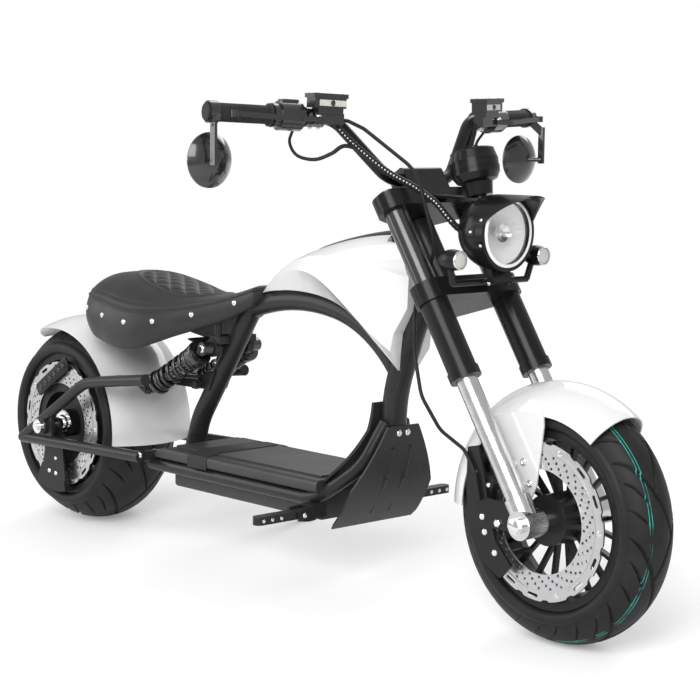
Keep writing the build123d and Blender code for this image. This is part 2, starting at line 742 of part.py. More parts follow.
def frame():
    """Welded frame: loop, deck rails, cross tubes, shock bridge, peg and stand brackets."""
    welded = loop_tubes(0)
    rail = tube(RAIL_POINTS, RAIL_RADII, RAIL_RADIUS)
    welded += rail
    welded += mirror(rail, about=Plane.XZ)
    for x in CROSS_TUBES:
        welded += rod((x, -RAIL_Y, CROSS_Z), (x, RAIL_Y, CROSS_Z), CROSS_RADIUS)
    bridge_x, bridge_z = SHOCK_TOP
    end, shoulder = SHOCK_Y + 18, SHOCK_Y - 12
    welded += rod((bridge_x, -end, bridge_z), (bridge_x, end, bridge_z), SHOCK_PIN_RADIUS)
    welded += rod((bridge_x, -shoulder, bridge_z), (bridge_x, shoulder, bridge_z), BRIDGE_RADIUS)
    pivot_x, pivot_z = ARM_PIVOT
    reach = ARM_Y - ARM_RADIUS - SEATED
    welded += rod((pivot_x, -reach, pivot_z), (pivot_x, reach, pivot_z), ARM_PIVOT_RADIUS)
    for y in (-RAIL_Y, RAIL_Y):
        welded += side_plate([(-371, 180), (-341, 180), (-344, 216), (-366, 216)], y, 10)
    ear_x, ear_z = EAR_PIVOT
    welded += rod((ear_x, -EAR_Y - 14, ear_z), (ear_x, EAR_Y + 14, ear_z), EAR_PIN_RADIUS)
    lug = [
        (ear_x - 11, ear_z - 10),
        (ear_x + 26, ear_z - 12),
        (ear_x + 48, ear_z + 30),
        (ear_x + 20, ear_z + 30),
        (ear_x - 11, ear_z + 10),
    ]
    welded += side_plate(lug, 0, 2 * EAR_Y - 9)
    stand_x, stand_y, stand_z = STAND_PIVOT
    outline = [(stand_x - 34, 190), (stand_x + 44, 190), (stand_x + 16, 114), (stand_x - 16, 114)]
    welded += side_plate(outline, stand_y - 14, 6)
    welded += rod((stand_x, RAIL_Y, RAIL_Z), (stand_x, stand_y - 11, RAIL_Z), 10)
    welded += rod((stand_x, stand_y - 14, stand_z), (stand_x, stand_y + 12, stand_z), 6)
    welded += seat_posts()
    stem_bore = FORK * rod((-STEM_SETBACK, 0, 400), (-STEM_SETBACK, 0, 700), STEM_RADIUS + RUNNING)
    return welded - stem_bore


def swinging_arm():
    """Left arm: two tubes that meet in a plate at the axle, with the shock's lug."""
    y = ARM_Y
    tip_x, tip_z = ARM_TIP
    pivot_x, pivot_z = ARM_PIVOT
    arm = rod((pivot_x, y, pivot_z), (tip_x, y, tip_z), ARM_RADIUS)
    bend = (ARM_BEND[0], y, ARM_BEND[1])
    head = (ARM_FRONT[0], y, ARM_FRONT[1])
    arm += tube([(tip_x, y, tip_z), bend, head], [ARM_BEND_FILLET], ARM_RADIUS)
    arm += Pos(tip_x, y, tip_z) * Sphere(ARM_RADIUS)
    arm += side_plate([(-770, 200), (-690, 200), (-690, 270), (-770, 222)], y, ARM_PLATE)
    axle_x, axle_z = REAR_AXLE[0], REAR_AXLE[2]
    arm += rod((axle_x, y - ARM_BOSS_HALF, axle_z), (axle_x, y + ARM_BOSS_HALF, axle_z), 19)
    stay_x, stay_z = FENDER_STAY
    arm += rod((stay_x, y, stay_z), (stay_x, 70, stay_z), 8) - rear_fender_room(SEATED)
    return arm - rod((axle_x, y - 40, axle_z), (axle_x, y + 40, axle_z), AXLE_RADIUS + SEATED)


def arm_bridge():
    """Plate between both upper tubes with the shocks' ears, and two arms to the pivot ahead."""
    reach = ARM_Y - ARM_RADIUS - SEATED
    x, z = CROSS_PLATE
    plate = Pos(x, 0, z) * Box(44, 2 * reach, 12)
    shock_x, shock_z = ARM_SHOCK
    ear = [
        (x + 12, z + 6),
        (x + 12, z - 8),
        (shock_x, shock_z - 12),
        (shock_x + 14, shock_z),
        (shock_x + 6, z + 6),
    ]
    pivot_x, pivot_z = EAR_PIVOT
    strut = [
        (x + 8, z + 6),
        (x + 8, z - 6),
        (pivot_x - 12, pivot_z - 10),
        (pivot_x + 10, pivot_z - 8),
        (pivot_x + 10, pivot_z + 8),
        (pivot_x - 12, pivot_z + 10),
    ]
    for side in (-1, 1):
        plate += side_plate(ear, side * (SHOCK_Y - 16), 6)
        plate += side_plate(ear, side * (SHOCK_Y + 16), 6)
        pin_ends = (side * (SHOCK_Y - 20), side * (SHOCK_Y + 22))
        plate += rod((shock_x, pin_ends[0], shock_z), (shock_x, pin_ends[1], shock_z), SHOCK_PIN_RADIUS)
        plate += side_plate(strut, side * EAR_Y, 8)
    return plate - rod((pivot_x, -200, pivot_z), (pivot_x, 200, pivot_z), EAR_PIN_RADIUS + SEATED)


def rear_axle():
    """Rear axle with its spacers and nuts."""
    end = ARM_Y + 28
    axle = rod((0, -end, 0), (0, end, 0), AXLE_RADIUS)
    inside, outside = ARM_Y - ARM_BOSS_HALF - SEATED, ARM_Y + ARM_BOSS_HALF + SEATED
    spacer = rod((0, MOTOR_HALF + 22.5, 0), (0, inside, 0), AXLE_RADIUS + 6)
    nut = rod((0, outside, 0), (0, outside + 10, 0), AXLE_RADIUS + 6)
    for piece in (nut, spacer):
        axle += piece
        axle += mirror(piece, about=Plane.XZ)
    return Pos(*REAR_AXLE) * axle


def shock_line(share):
    """The point a share of the way up the left shock."""
    low, high = ARM_SHOCK, SHOCK_TOP
    return low[0] + (high[0] - low[0]) * share, SHOCK_Y, low[1] + (high[1] - low[1]) * share


def shock_dampers():
    """Damper bodies with an eye at each end."""
    damper = rod(shock_line(0.02), shock_line(0.98), DAMPER_RADIUS - 2)
    for share in (0, 1):
        x, y, z = shock_line(share)
        damper += rod((x, y - 11, z), (x, y + 11, z), DAMPER_RADIUS)
    damper += rod(shock_line(0.13), shock_line(0.17), SPRING_RADIUS + 1)
    damper += rod(shock_line(0.83), shock_line(0.87), SPRING_RADIUS + 1)
    for share in (0, 1):
        x, y, z = shock_line(share)
        damper -= rod((x, y - 40, z), (x, y + 40, z), SHOCK_PIN_RADIUS + SEATED)
    return both_sides(damper)


def shock_springs():
    """Coil springs as bellows of their outer shape round the dampers."""
    turns = 7
    low, high = 0.175, 0.825
    coils = []
    for turn in range(turns):
        middle = low + (high - low) * (turn + 0.5) / turns
        coils.append((middle - 0.035, middle + 0.035))
    spring = rod(shock_line(low), shock_line(high), DAMPER_RADIUS + 2)
    for start, end in coils:
        spring += rod(shock_line(start), shock_line(end), SPRING_RADIUS)
    spring -= rod(shock_line(0), shock_line(1), DAMPER_RADIUS - 2 + SEATED)
    return both_sides(spring)


# Tank and seat

TANK_SECTIONS = [
    # x, top z, half width, crease z, bottom z
    (-96, 578, 16, 570, 548),
    (-20, 633, 40, 606, 557),
    (100, 680, 60, 626, 556),
    (200, 704, 64, 575, 522),
    (290, 718, 58, 512, 452),
    (360, 724, 50, 470, 420),
]
TANK_BOTTOM_HALF = 12.0
TANK_SHOULDER = 0.84
TANK_FRONT = [(330, 525), (393, 632), (352, 696), (298, 700), (292, 760), (-120, 760)]


def tank_section(x, top, half, crease, bottom):
    """One section of the tank: crowned top down to the crease, then tucked in to the arch."""
    low = TANK_BOTTOM_HALF
    high, shoulder = TANK_SHOULDER * half, top - 0.35 * (top - crease)
    outline = Curve() + [
        Line((low, bottom), (half, crease)),
        Line((half, crease), (high, shoulder)),
        ThreePointArc((high, shoulder), (0, top), (-high, shoulder)),
        Line((-high, shoulder), (-half, crease)),
        Line((-half, crease), (-low, bottom)),
        Line((-low, bottom), (low, bottom)),
    ]
    plane = Plane(origin=(x, 0, 0), x_dir=(0, 1, 0), z_dir=(1, 0, 0))
    return plane * make_face(outline)


def tank():
    """Tank shell over the arch, up to the steering head."""
    body = loft([tank_section(*row) for row in TANK_SECTIONS])
    seat_line = arch_arcs(ARCH_TUBE_RADIUS + SEATED)
    rear, front = seat_line[0] @ 0, seat_line[-1] @ 1
    ahead = [(front.X, front.Y)] + TANK_FRONT + [(-120, rear.Y - 5), (rear.X, rear.Y)]
    room = make_face(Curve() + seat_line + [Polyline(*ahead)])
    body &= extrude(Plane.XZ * room, 200, both=True)
    return body - tube(in_middle(DOWN_POINTS), DOWN_RADII, DOWN_TUBE_RADIUS + SEATED) - head_tube(SEATED)


SEAT_SECTIONS = [
    # x, half width, rim z, crown z, skirt half width, skirt bottom z
    (-628, 40, 552, 566, 52, 500),
    (-585, 104, 548, 582, 114, 468),
    (-494, 134, 536, 590, 142, 440),
    (-400, 132, 524, 578, 138, 434),
    (-290, 92, 532, 560, 98, 470),
    (-180, 54, 556, 566, 58, 508),
    (-97, 32, 583, 590, 36, 546),
]


def seat_section(x, half, rim, crown, skirt_half, bottom):
    """One section of the saddle: crowned top, rim and a skirt that bulges."""
    outline = Curve() + [
        ThreePointArc((half, rim), (0, crown), (-half, rim)),
        ThreePointArc((-half, rim), (-skirt_half, (rim + bottom) / 2), (-half + 6, bottom)),
        Line((-half + 6, bottom), (half - 6, bottom)),
        ThreePointArc((half - 6, bottom), (skirt_half, (rim + bottom) / 2), (half, rim)),
    ]
    plane = Plane(origin=(x, 0, 0), x_dir=(0, 1, 0), z_dir=(1, 0, 0))
    return plane * make_face(outline)


def seat_form(extra):
    """The saddle's outer form, deeper by extra."""
    return loft([seat_section(*row[:-1], row[-1] - extra) for row in SEAT_SECTIONS])


def seat():
    """Wide saddle with a deep skirt that narrows to a nose over the arch."""
    cushion = seat_form(0)
    cushion -= loop_tubes(SOFT)
    return cushion - rear_fender_room(3)


def seat_posts():
    """Two upright posts on the shock bridge and a curved plate up to the seat's rear."""
    bridge_x, bridge_z = SHOCK_TOP
    x, y = SEAT_POST
    posts = Pos(x - 4, 0, bridge_z + 18) * Box(36, 2 * y + 16, 16)
    for side in (-1, 1):
        posts += rod((x, side * y, bridge_z + 18), (x, side * y, bridge_z + 80), 8)
        posts += rod((bridge_x, side * 36, bridge_z), (bridge_x, side * 52, bridge_z), BRIDGE_RADIUS + 6)
    profile = Curve() + [
        ThreePointArc((x + 4, bridge_z + 26), (-320, 462), (-404, 540)),
        Line((-404, 540), (-408, 538)),
        ThreePointArc((-408, 538), (-322, 458), (x + 4, bridge_z + 22)),
        Line((x + 4, bridge_z + 22), (x + 4, bridge_z + 26)),
    ]
    posts += extrude(Plane.XZ * make_face(profile), 40, both=True)
    return posts - seat_form(SOFT)


# Deck

def deck_box():
    """Battery box between the rails."""
    length = DECK_FRONT - DECK_REAR - 60
    middle = (DECK_FRONT + DECK_REAR) / 2
    top = RAIL_Z + RAIL_RADIUS
    box = Pos(middle, 0, (BOX_BOTTOM + top) / 2) * Box(length, 2 * BOX_HALF, top - BOX_BOTTOM)
    box = fillet(box.edges().filter_by(Axis.X).group_by(Axis.Z)[0], 10)
    for x in CROSS_TUBES:
        box -= rod((x, -RAIL_Y, CROSS_Z), (x, RAIL_Y, CROSS_Z), CROSS_RADIUS + SEATED)
    return box


def deck_cover():
    """Moulded cover over the box with a bullnose edge and a raised middle panel."""
    length = DECK_FRONT - DECK_REAR
    middle = (DECK_FRONT + DECK_REAR) / 2
    height = COVER_TOP - COVER_BOTTOM
    slab = Pos(middle, 0, (COVER_TOP + COVER_BOTTOM) / 2) * Box(length, 2 * COVER_HALF, height)
    slab = fillet(slab.edges().filter_by(Axis.X), 10)
    slab += Pos(middle + 10, 0, COVER_TOP + 1) * Box(length - 60, 2 * COVER_HALF - 60, 6)
    slab -= side_plate([(-345, 212), (-300, COVER_TOP + 1), (-300, 260), (-345, 260)], 0, 400)
    return slab - loop_tubes(SEATED) - frame_rails(SEATED)


def foot_board():
    """Rubber board that rises from the deck to the down tube."""
    low, high = (DECK_FRONT + 0.5, 222), (262, 384)
    bend = (236, 276)
    thick = BOARD_THICKNESS
    profile = Curve() + [
        ThreePointArc(low, bend, high),
        Line(high, (high[0] - thick, high[1])),
        ThreePointArc((high[0] - thick, high[1]), (bend[0] - thick, bend[1] + 4), (low[0], low[1] + thick)),
        Line((low[0], low[1] + thick), low),
    ]
    board = extrude(Plane.XZ * make_face(profile), 110, both=True)
    front = Plane(origin=(100, 0, 0), x_dir=(0, 1, 0), z_dir=(1, 0, 0))
    outline = [(-96, 215), (-94, 240), (-42, 330), (-34, 390), (34, 390), (42, 330), (94, 240), (96, 215)]
    board &= extrude(front * make_face(Polyline(*outline, close=True)), 250)
    return board - loop_tubes(SEATED) - frame_rails(SEATED)


def frame_rails(extra):
    """Both deck rails, thicker by extra."""
    rail = tube(RAIL_POINTS, RAIL_RADII, RAIL_RADIUS + extra)
    return rail + mirror(rail, about=Plane.XZ)


def apron():
    """Front plate below the down tube."""
    low, bend, high = (222, 138), (281, 232), (306, 342)
    wall = APRON_WALL
    profile = Curve() + [
        ThreePointArc(low, bend, high),
        Line(high, (high[0] + wall, high[1])),
        ThreePointArc((high[0] + wall, high[1]), (bend[0] + wall, bend[1] - 2), (low[0] + wall, low[1])),
        Line((low[0] + wall, low[1]), low),
    ]
    sheet = extrude(Plane.XZ * make_face(profile), 112, both=True)
    front = Plane(origin=(200, 0, 0), x_dir=(0, 1, 0), z_dir=(1, 0, 0))
    left = [(104, 130), (112, 150), (108, 220), (40, 345)]
    outline = [(-y, z) for y, z in left] + list(reversed(left))
    sheet &= extrude(front * make_face(Polyline(*outline, close=True)), 200)
    for side in (-1, 1):
        sheet += rod((244, side * 24, 165), (288, side * 24, 238), 5)
        sheet += rod((288, side * 24, 238), (304, side * 24, 300), 5)
    return sheet - frame_rails(SEATED) - loop_tubes(SEATED)


def foot_pegs():
    """Folding pegs with rounded ends and holes, each in a clevis off the rail."""
    plan = Rot(0, 0, 90) * SlotOverall(PEG_OUTER_Y - PEG_INNER_Y, PEG_WIDTH)
    plan = Pos(PEG_X, (PEG_INNER_Y + PEG_OUTER_Y) / 2) * plan
    peg = extrude(Pos(0, 0, PEG_Z - PEG_HEIGHT / 2) * plan, PEG_HEIGHT)
    for y in PEG_HOLES:
        peg -= rod((PEG_X - 40, y, PEG_Z), (PEG_X + 40, y, PEG_Z), 3)
    pin_y, pin_x = PEG_INNER_Y + 16, PEG_WIDTH / 2 + 9
    peg += rod((PEG_X - pin_x, pin_y, PEG_Z), (PEG_X + pin_x, pin_y, PEG_Z), 4)
    for x in (PEG_X - PEG_WIDTH / 2 - 3, PEG_X + PEG_WIDTH / 2 + 3):
        peg += flat((x, RAIL_Y, PEG_Z + 3), (x, PEG_INNER_Y + 26, PEG_Z), (1, 0, 0), 5.9, 24)
    peg += flat((PEG_X, RAIL_Y, PEG_Z + 3), (PEG_X, PEG_INNER_Y - 6, PEG_Z + 2), (1, 0, 0), 40, 24)
    return both_sides(peg - frame_rails(SEATED))


# Brakes

CALIPER_BRACKET = [
    # x and z from the axle, down the outer edge and back up the inner one
    (-156, 116),
    (-158, 40),
    (-148, -30),
    (-120, -84),
    (-72, -112),
    (-46, -86),
    (-84, -46),
    (-100, 0),
    (-112, 60),
    (-130, 122),
]


def caliper(disc_y, inner_y, outer_y, start, sweep_angle):
    """A block bent round the disc's rim, with a slot that the disc runs in."""
    upward = Axis((0, 0, 0), (0, -1, 0))
    blocks = []
    for low, high, near, far in (
        (CALIPER_INNER, CALIPER_OUTER, inner_y, outer_y),
        (0.01, DISC_OUTER + 5, disc_y - CALIPER_SLOT, disc_y + CALIPER_SLOT),
    ):
        section = Pos((low + high) / 2, (near + far) / 2) * Rectangle(high - low, abs(far - near))
        blocks.append(section)
    body = revolve(blocks[0].rotate(upward, start), upward, sweep_angle)
    return body - revolve(blocks[1], Axis.Y)


def front_caliper():
    """Front caliper on its bracket behind the right leg."""
    outer_y = FRONT_DISC_Y - 20
    block = caliper(FRONT_DISC_Y, FRONT_DISC_Y + 10.5, outer_y, 150, 48)
    block += side_plate(CALIPER_BRACKET, outer_y - 3, 6)
    block += side_plate([(-110, 30), (-20, 24), (-20, -22), (-104, -24)], outer_y - 3, 6)
    block = Pos(*FRONT_AXLE) * block
    lower = rod((0, -LEG_Y, 0), (0, -LEG_Y, LEG_FOOT_TOP + SEATED), LEG_FOOT_RADIUS + SEATED)
    upper = rod((0, -LEG_Y, 0), (0, -LEG_Y, 300), LEG_LOWER_RADIUS + SEATED)
    boss = rod((0, -LEG_Y - 40, 0), (0, -LEG_Y + 40, 0), LEG_FOOT_RADIUS + 2 + SEATED)
    return block - FORK * (lower + upper + boss)


def rear_caliper():
    """Rear caliper below the axle on a bracket round the axle."""
    outer_y = REAR_DISC_Y - 18
    block = caliper(REAR_DISC_Y, REAR_DISC_Y + 5.5, outer_y, 240, 44)
    block += side_plate([(-24, 16), (24, 16), (44, -128), (-50, -122)], outer_y - 2, 4)
    hole = rod((0, -200, 0), (0, -60, 0), AXLE_RADIUS + 6 + SEATED)
    return Pos(*REAR_AXLE) * (block - hole)


# Hose and cable

HOSE_RADIUS = 3.5
HOSE_POINTS = [
    # from behind the right leg's caliper, up behind the lower clamp, to the master cylinder
    (600, -93, 252),
    (588, -93, 300),
    (562, -93, 338),
    (496, -90, 366),
    (440, -84, 422),
    (410, -74, 500),
    (402, -66, 600),
    (452, -62, 690),
    (412, -78, 836),
    (338, -142, 912),
    (322, -168, 926),
    (320, -182.4, 927),
]
HOSE_FILLETS = [50, 40, 70, 70, 100, 100, 90, 80, 30, 12]
CABLE_RADIUS = 4.0
CABLE_ASIDE = 20.7
CABLE_POINTS = [(386, 591), (350, 518), (305, 396), (304, 348)]
CABLE_FILLETS = [239, 279]


def brake_hose():
    """Front brake hose in a loop behind the leg, up to the right master cylinder."""
    return tube(HOSE_POINTS, HOSE_FILLETS, HOSE_RADIUS)


def frame_cable():
    """Cable that runs down the down tube's front, towards its right."""
    path = [(x, -CABLE_ASIDE, z) for x, z in CABLE_POINTS]
    return tube(path, CABLE_FILLETS, CABLE_RADIUS) - loop_tubes(SEATED)


# Side stand

def ground_height(y):
    """Height of the ground under the upright machine's left side once it is leaned."""
    crown = (86.0 ** 2 + 40.0 ** 2) / (2 * 40.0)
    lean = math.radians(LEAN)
    rise = crown * (1 - math.cos(lean))
    return y * math.tan(lean) - rise / math.cos(lean)


def side_stand():
    """Leg from its pivot to the ground, with a flat foot that lies on it."""
    x, y, z = STAND_PIVOT
    foot_x, foot_y = STAND_FOOT_X, STAND_FOOT_Y
    foot_z = ground_height(foot_y)
    pad_plane = Plane(origin=(foot_x, foot_y, foot_z), z_dir=Vector(0, 0, 1).rotate(Axis.X, LEAN))
    pad = extrude(pad_plane * Circle(STAND_FOOT_RADIUS), STAND_FOOT_THICKNESS)
    above = Vector(foot_x, foot_y, foot_z) + pad_plane.z_dir * (STAND_RADIUS + 1)
    leg = rod((x, y, z), tuple(above), STAND_RADIUS)
    eye = rod((x, y - 9, z), (x, y + 9, z), 15)
    stand = leg + pad + eye
    return stand - rod((x, y - 30, z), (x, y + 30, z), 6 + RUNNING)


# Every node with its sub-part
nodes = {
    "front_tyre": Pos(*FRONT_AXLE) * tyre(FRONT_TYRE_HALF, FRONT_BEAD_HALF, 52.5, 42),
    "front_rim": Pos(*FRONT_AXLE) * front_rim(),
    "front_disc": Pos(*FRONT_AXLE) * brake_disc(FRONT_DISC_Y),
    "rear_tyre": Pos(*REAR_AXLE) * tyre(REAR_TYRE_HALF, REAR_BEAD_HALF, 86, 40),
    "rear_rim": Pos(*REAR_AXLE) * rear_rim(),
    "hub_motor": Pos(*REAR_AXLE) * hub_motor(),
    "rear_disc": Pos(*REAR_AXLE) * brake_disc(REAR_DISC_Y),
    "lower_clamp": lower_clamp(),
    "upper_clamp": upper_clamp(),
    "fork_tubes": fork_tubes(),
    "fork_sleeves": fork_sleeves(),
    "fork_lowers": fork_lowers(),
    "front_axle": front_axle(),
    "handlebar": handlebar(),
    "grips": grips(),
    "switches": switches(),
    "brake_controls": brake_controls(),
    "headlight_housing": headlight_housing(),
    "headlight_lens": headlight_lens(),
    "speedometer": speedometer(),
    "lamp_bracket": lamp_bracket(),
    "indicators": indicators(),
    "mirrors": mirrors(),
    "mirror_glass": mirror_glass(),
    "front_fender": front_fender(),
    "front_caliper": front_caliper(),
    "rear_caliper": rear_caliper(),
    "rear_fender": rear_fender(),
    "frame": frame(),
    "arm_left": swinging_arm(),
    "arm_right": mirror(swinging_arm(), about=Plane.XZ),
    "arm_bridge": arm_bridge(),
    "rear_axle": rear_axle(),
    "shock_dampers": shock_dampers(),
    "shock_springs": shock_springs(),
    "tank": tank(),
    "seat": seat(),
    "deck_box": deck_box(),
    "deck_cover": deck_cover(),
    "foot_board": foot_board(),
    "apron": apron(),
    "foot_pegs": foot_pegs(),
    "brake_hose": brake_hose(),
    "frame_cable": frame_cable(),
    "side_stand": side_stand(),
}

# The parked machine leans to its left; its box then stands centred on the origin
leaned = {name: Rot(-LEAN, 0, 0) * piece for name, piece in nodes.items()}
box = Compound(children=[Compound(children=piece.solids()) for piece in leaned.values()]).bounding_box()
STANDING = Pos(-box.center().X, -box.center().Y, -box.min.Z)

os.makedirs("parts", exist_ok=True)
for name, piece in leaned.items():
    solids = (STANDING * piece).solids()
    export_step(solids[0] if len(solids) == 1 else Compound(children=solids), f"parts/{name}.step")
    print(name, len(solids))
print("box", box)
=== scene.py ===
"""Looks of a low electric scooter in chopper style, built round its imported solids."""
import json
import math

import bmesh
import bpy
import numpy as np
from bpy.props import FloatVectorProperty, PointerProperty
from mathutils import Matrix, Vector


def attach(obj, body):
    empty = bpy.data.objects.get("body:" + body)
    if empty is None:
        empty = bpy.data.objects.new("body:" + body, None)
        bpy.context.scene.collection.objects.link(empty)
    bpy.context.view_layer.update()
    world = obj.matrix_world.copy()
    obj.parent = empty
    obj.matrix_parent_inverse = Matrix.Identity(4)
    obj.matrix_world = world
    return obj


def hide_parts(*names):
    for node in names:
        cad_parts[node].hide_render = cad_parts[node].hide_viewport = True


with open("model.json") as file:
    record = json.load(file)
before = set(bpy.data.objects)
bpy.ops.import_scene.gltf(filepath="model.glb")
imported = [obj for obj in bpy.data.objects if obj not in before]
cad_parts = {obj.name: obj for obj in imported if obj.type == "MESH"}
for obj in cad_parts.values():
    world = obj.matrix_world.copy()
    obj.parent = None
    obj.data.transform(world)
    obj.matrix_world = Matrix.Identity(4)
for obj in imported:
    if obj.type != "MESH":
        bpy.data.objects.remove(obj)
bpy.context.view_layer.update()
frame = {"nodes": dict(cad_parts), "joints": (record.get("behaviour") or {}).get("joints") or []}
NODES = frame["nodes"]

bl_info = {
    "name": "Chopper scooter looks",
    "version": (1, 0, 0),
    "blender": (4, 5, 0),
    "location": "View3D > Sidebar > Scooter",
    "description": "Finishes and small pieces of a parked electric chopper scooter",
    "category": "Object",
}

# Upright machine: X forward, Y to its left, Z up, in metres, midway between the axles
LEAN = math.radians(8.0)
FRONT_AXLE = np.array([0.720, 0.0, 0.228])
REAR_AXLE = np.array([-0.720, 0.0, 0.228])
TURN = np.array([
    [1.0, 0.0, 0.0],
    [0.0, math.cos(LEAN), math.sin(LEAN)],
    [0.0, -math.sin(LEAN), math.cos(LEAN)],
])
AXLE_JOINT = next(joint for joint in frame["joints"] if joint["name"] == "front_spin")
SHIFT = np.array(AXLE_JOINT["pos_m"]) - TURN @ FRONT_AXLE


def standing(points):
    """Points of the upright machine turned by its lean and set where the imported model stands."""
    return np.asarray(points, float) @ TURN.T + SHIFT


def facing(directions):
    """Directions of the upright machine turned by its lean."""
    return np.asarray(directions, float) @ TURN.T


# Points and faces

MM = 0.001
FULL_TURN = 2 * math.pi


def unit(vector):
    """A direction of length one."""
    vector = np.asarray(vector, float)
    return vector / np.linalg.norm(vector)


def quads(rows, columns, close_rows=False, close_columns=False):
    """Faces of a grid of points, each direction joined end to end where asked."""
    row = np.arange(rows if close_rows else rows - 1)
    column = np.arange(columns if close_columns else columns - 1)
    i, j = np.meshgrid(row, column, indexing="ij")
    k, m = (i + 1) % rows, (j + 1) % columns
    return np.stack([i * columns + j, k * columns + j, k * columns + m, i * columns + m], -1).reshape(-1, 4)


def grid(points, close_rows=False, close_columns=False):
    """A grid of points as one list with its faces."""
    rows, columns = points.shape[:2]
    return points.reshape(-1, 3), quads(rows, columns, close_rows, close_columns)


def turns(count):
    """Angles spread evenly round a circle."""
    return np.linspace(0, FULL_TURN, count, endpoint=False)


def round_point(angle, radius, y=0.0):
    """A point round a crosswise axis: an angle from straight ahead towards up, and a distance out."""
    return np.array([radius * math.cos(angle), y, radius * math.sin(angle)])


def distance_along(path):
    """Each point's distance along a path from its start."""
    return np.concatenate([[0], np.cumsum(np.linalg.norm(np.diff(path, axis=0), axis=1))])


def across(axis):
    """Two directions square to an axis and to each other."""
    axis = unit(axis)
    aside = unit(np.cross(axis, (0.0, 0.0, 1.0) if abs(axis[2]) < 0.9 else (1.0, 0.0, 0.0)))
    return aside, np.cross(axis, aside)


def circle(angles, aside, upward):
    """Directions at angles from one direction to another square to it."""
    return np.cos(angles)[:, None] * aside + np.sin(angles)[:, None] * upward


def lathe(profile, origin, axis, segments=32):
    """A profile turned about an axis: each row is a distance along it and one out from it."""
    profile = np.asarray(profile, float)
    ring = circle(turns(segments), *across(axis))
    along = np.asarray(origin, float) + profile[:, :1] * unit(axis)
    return grid(along[:, None, :] + profile[:, 1, None, None] * ring[None], close_columns=True)


def spline(points, count):
    """Points spread along a curve that passes through all the points given, by cubics."""
    points = np.asarray(points, float)
    ends = np.vstack([2 * points[0] - points[1], points, 2 * points[-1] - points[-2]])
    share = np.linspace(0, len(points) - 1.000001, count)
    run = share.astype(int)
    t = (share - run)[:, None]
    p0, p1, p2, p3 = (ends[run + k] for k in range(4))
    return 0.5 * (2 * p1 + (p2 - p0) * t + (2 * p0 - 5 * p1 + 4 * p2 - p3) * t ** 2
                  + (3 * p1 - p0 - 3 * p2 + p3) * t ** 3)


def rings(path, radius, segments=12):
    """Circles about a path, each square to it, of a radius per ring or per point."""
    path = np.asarray(path, float)
    heading = np.gradient(path, axis=0)
    heading /= np.linalg.norm(heading, axis=1)[:, None]
    aside = across(heading[0])[0]
    if np.ndim(radius) == 1:
        radius = np.reshape(radius, (-1, 1))
    radius = np.broadcast_to(radius, (len(path), segments))
    points = np.empty((len(path), segments, 3))
    for index, (place, ahead) in enumerate(zip(path, heading)):
        aside = unit(aside - ahead * np.dot(aside, ahead))
        around = circle(turns(segments), aside, np.cross(ahead, aside))
        points[index] = place + radius[index][:, None] * around
    return points


def tube(path, radius, segments=12):
    """A tube along a path, with its ends drawn in to a point."""
    points = rings(path, radius, segments)
    first, last = np.broadcast_to(path[0], points[0].shape), np.broadcast_to(path[-1], points[0].shape)
    return grid(np.concatenate([first[None], points, last[None]]), close_columns=True)


def slab(origin, along, aside, length, width, height, corner=2.0, bevel=0.8):
    """A rounded rectangle of width and height, drawn out along its length, with bevelled ends."""
    along, aside = unit(along), unit(aside)
    upward = np.cross(along, aside)
    outline = []
    for quarter, (sx, sy) in enumerate(((1, 1), (-1, 1), (-1, -1), (1, -1))):
        for turn in np.linspace(0, math.pi / 2, 5) + quarter * math.pi / 2:
            outline.append((sx * (width / 2 - corner) + corner * math.cos(turn),
                            sy * (height / 2 - corner) + corner * math.sin(turn)))
    outline = np.array(outline)
    drawn_in = 1 - 2 * bevel / min(width, height)
    half = length / 2
    levels = [
        (-half, 0.0), (-half, drawn_in), (bevel - half, 1.0),
        (half - bevel, 1.0), (half, drawn_in), (half, 0.0),
    ]
    points = [np.asarray(origin, float) + along * level
              + share * (outline[:, :1] * aside + outline[:, 1:] * upward) for level, share in levels]
    return grid(np.array(points), close_columns=True)


def arc(start, through, end, count):
    """Points of the circle through three points of a plane, from the first to the last."""
    (ax, ay), (bx, by), (cx, cy) = start, through, end
    d = 2 * (ax * (by - cy) + bx * (cy - ay) + cx * (ay - by))
    a2, b2, c2 = ax * ax + ay * ay, bx * bx + by * by, cx * cx + cy * cy
    x = (a2 * (by - cy) + b2 * (cy - ay) + c2 * (ay - by)) / d
    y = (a2 * (cx - bx) + b2 * (ax - cx) + c2 * (bx - ax)) / d
    first, middle, last = (math.atan2(q - y, p - x) for p, q in (start, through, end))
    turn = (last - first) % FULL_TURN
    if (middle - first) % FULL_TURN > turn:
        turn -= FULL_TURN
    angles = first + turn * np.linspace(0, 1, count)
    radius = math.hypot(ax - x, ay - y)
    return np.stack([x + radius * np.cos(angles), y + radius * np.sin(angles)], -1)


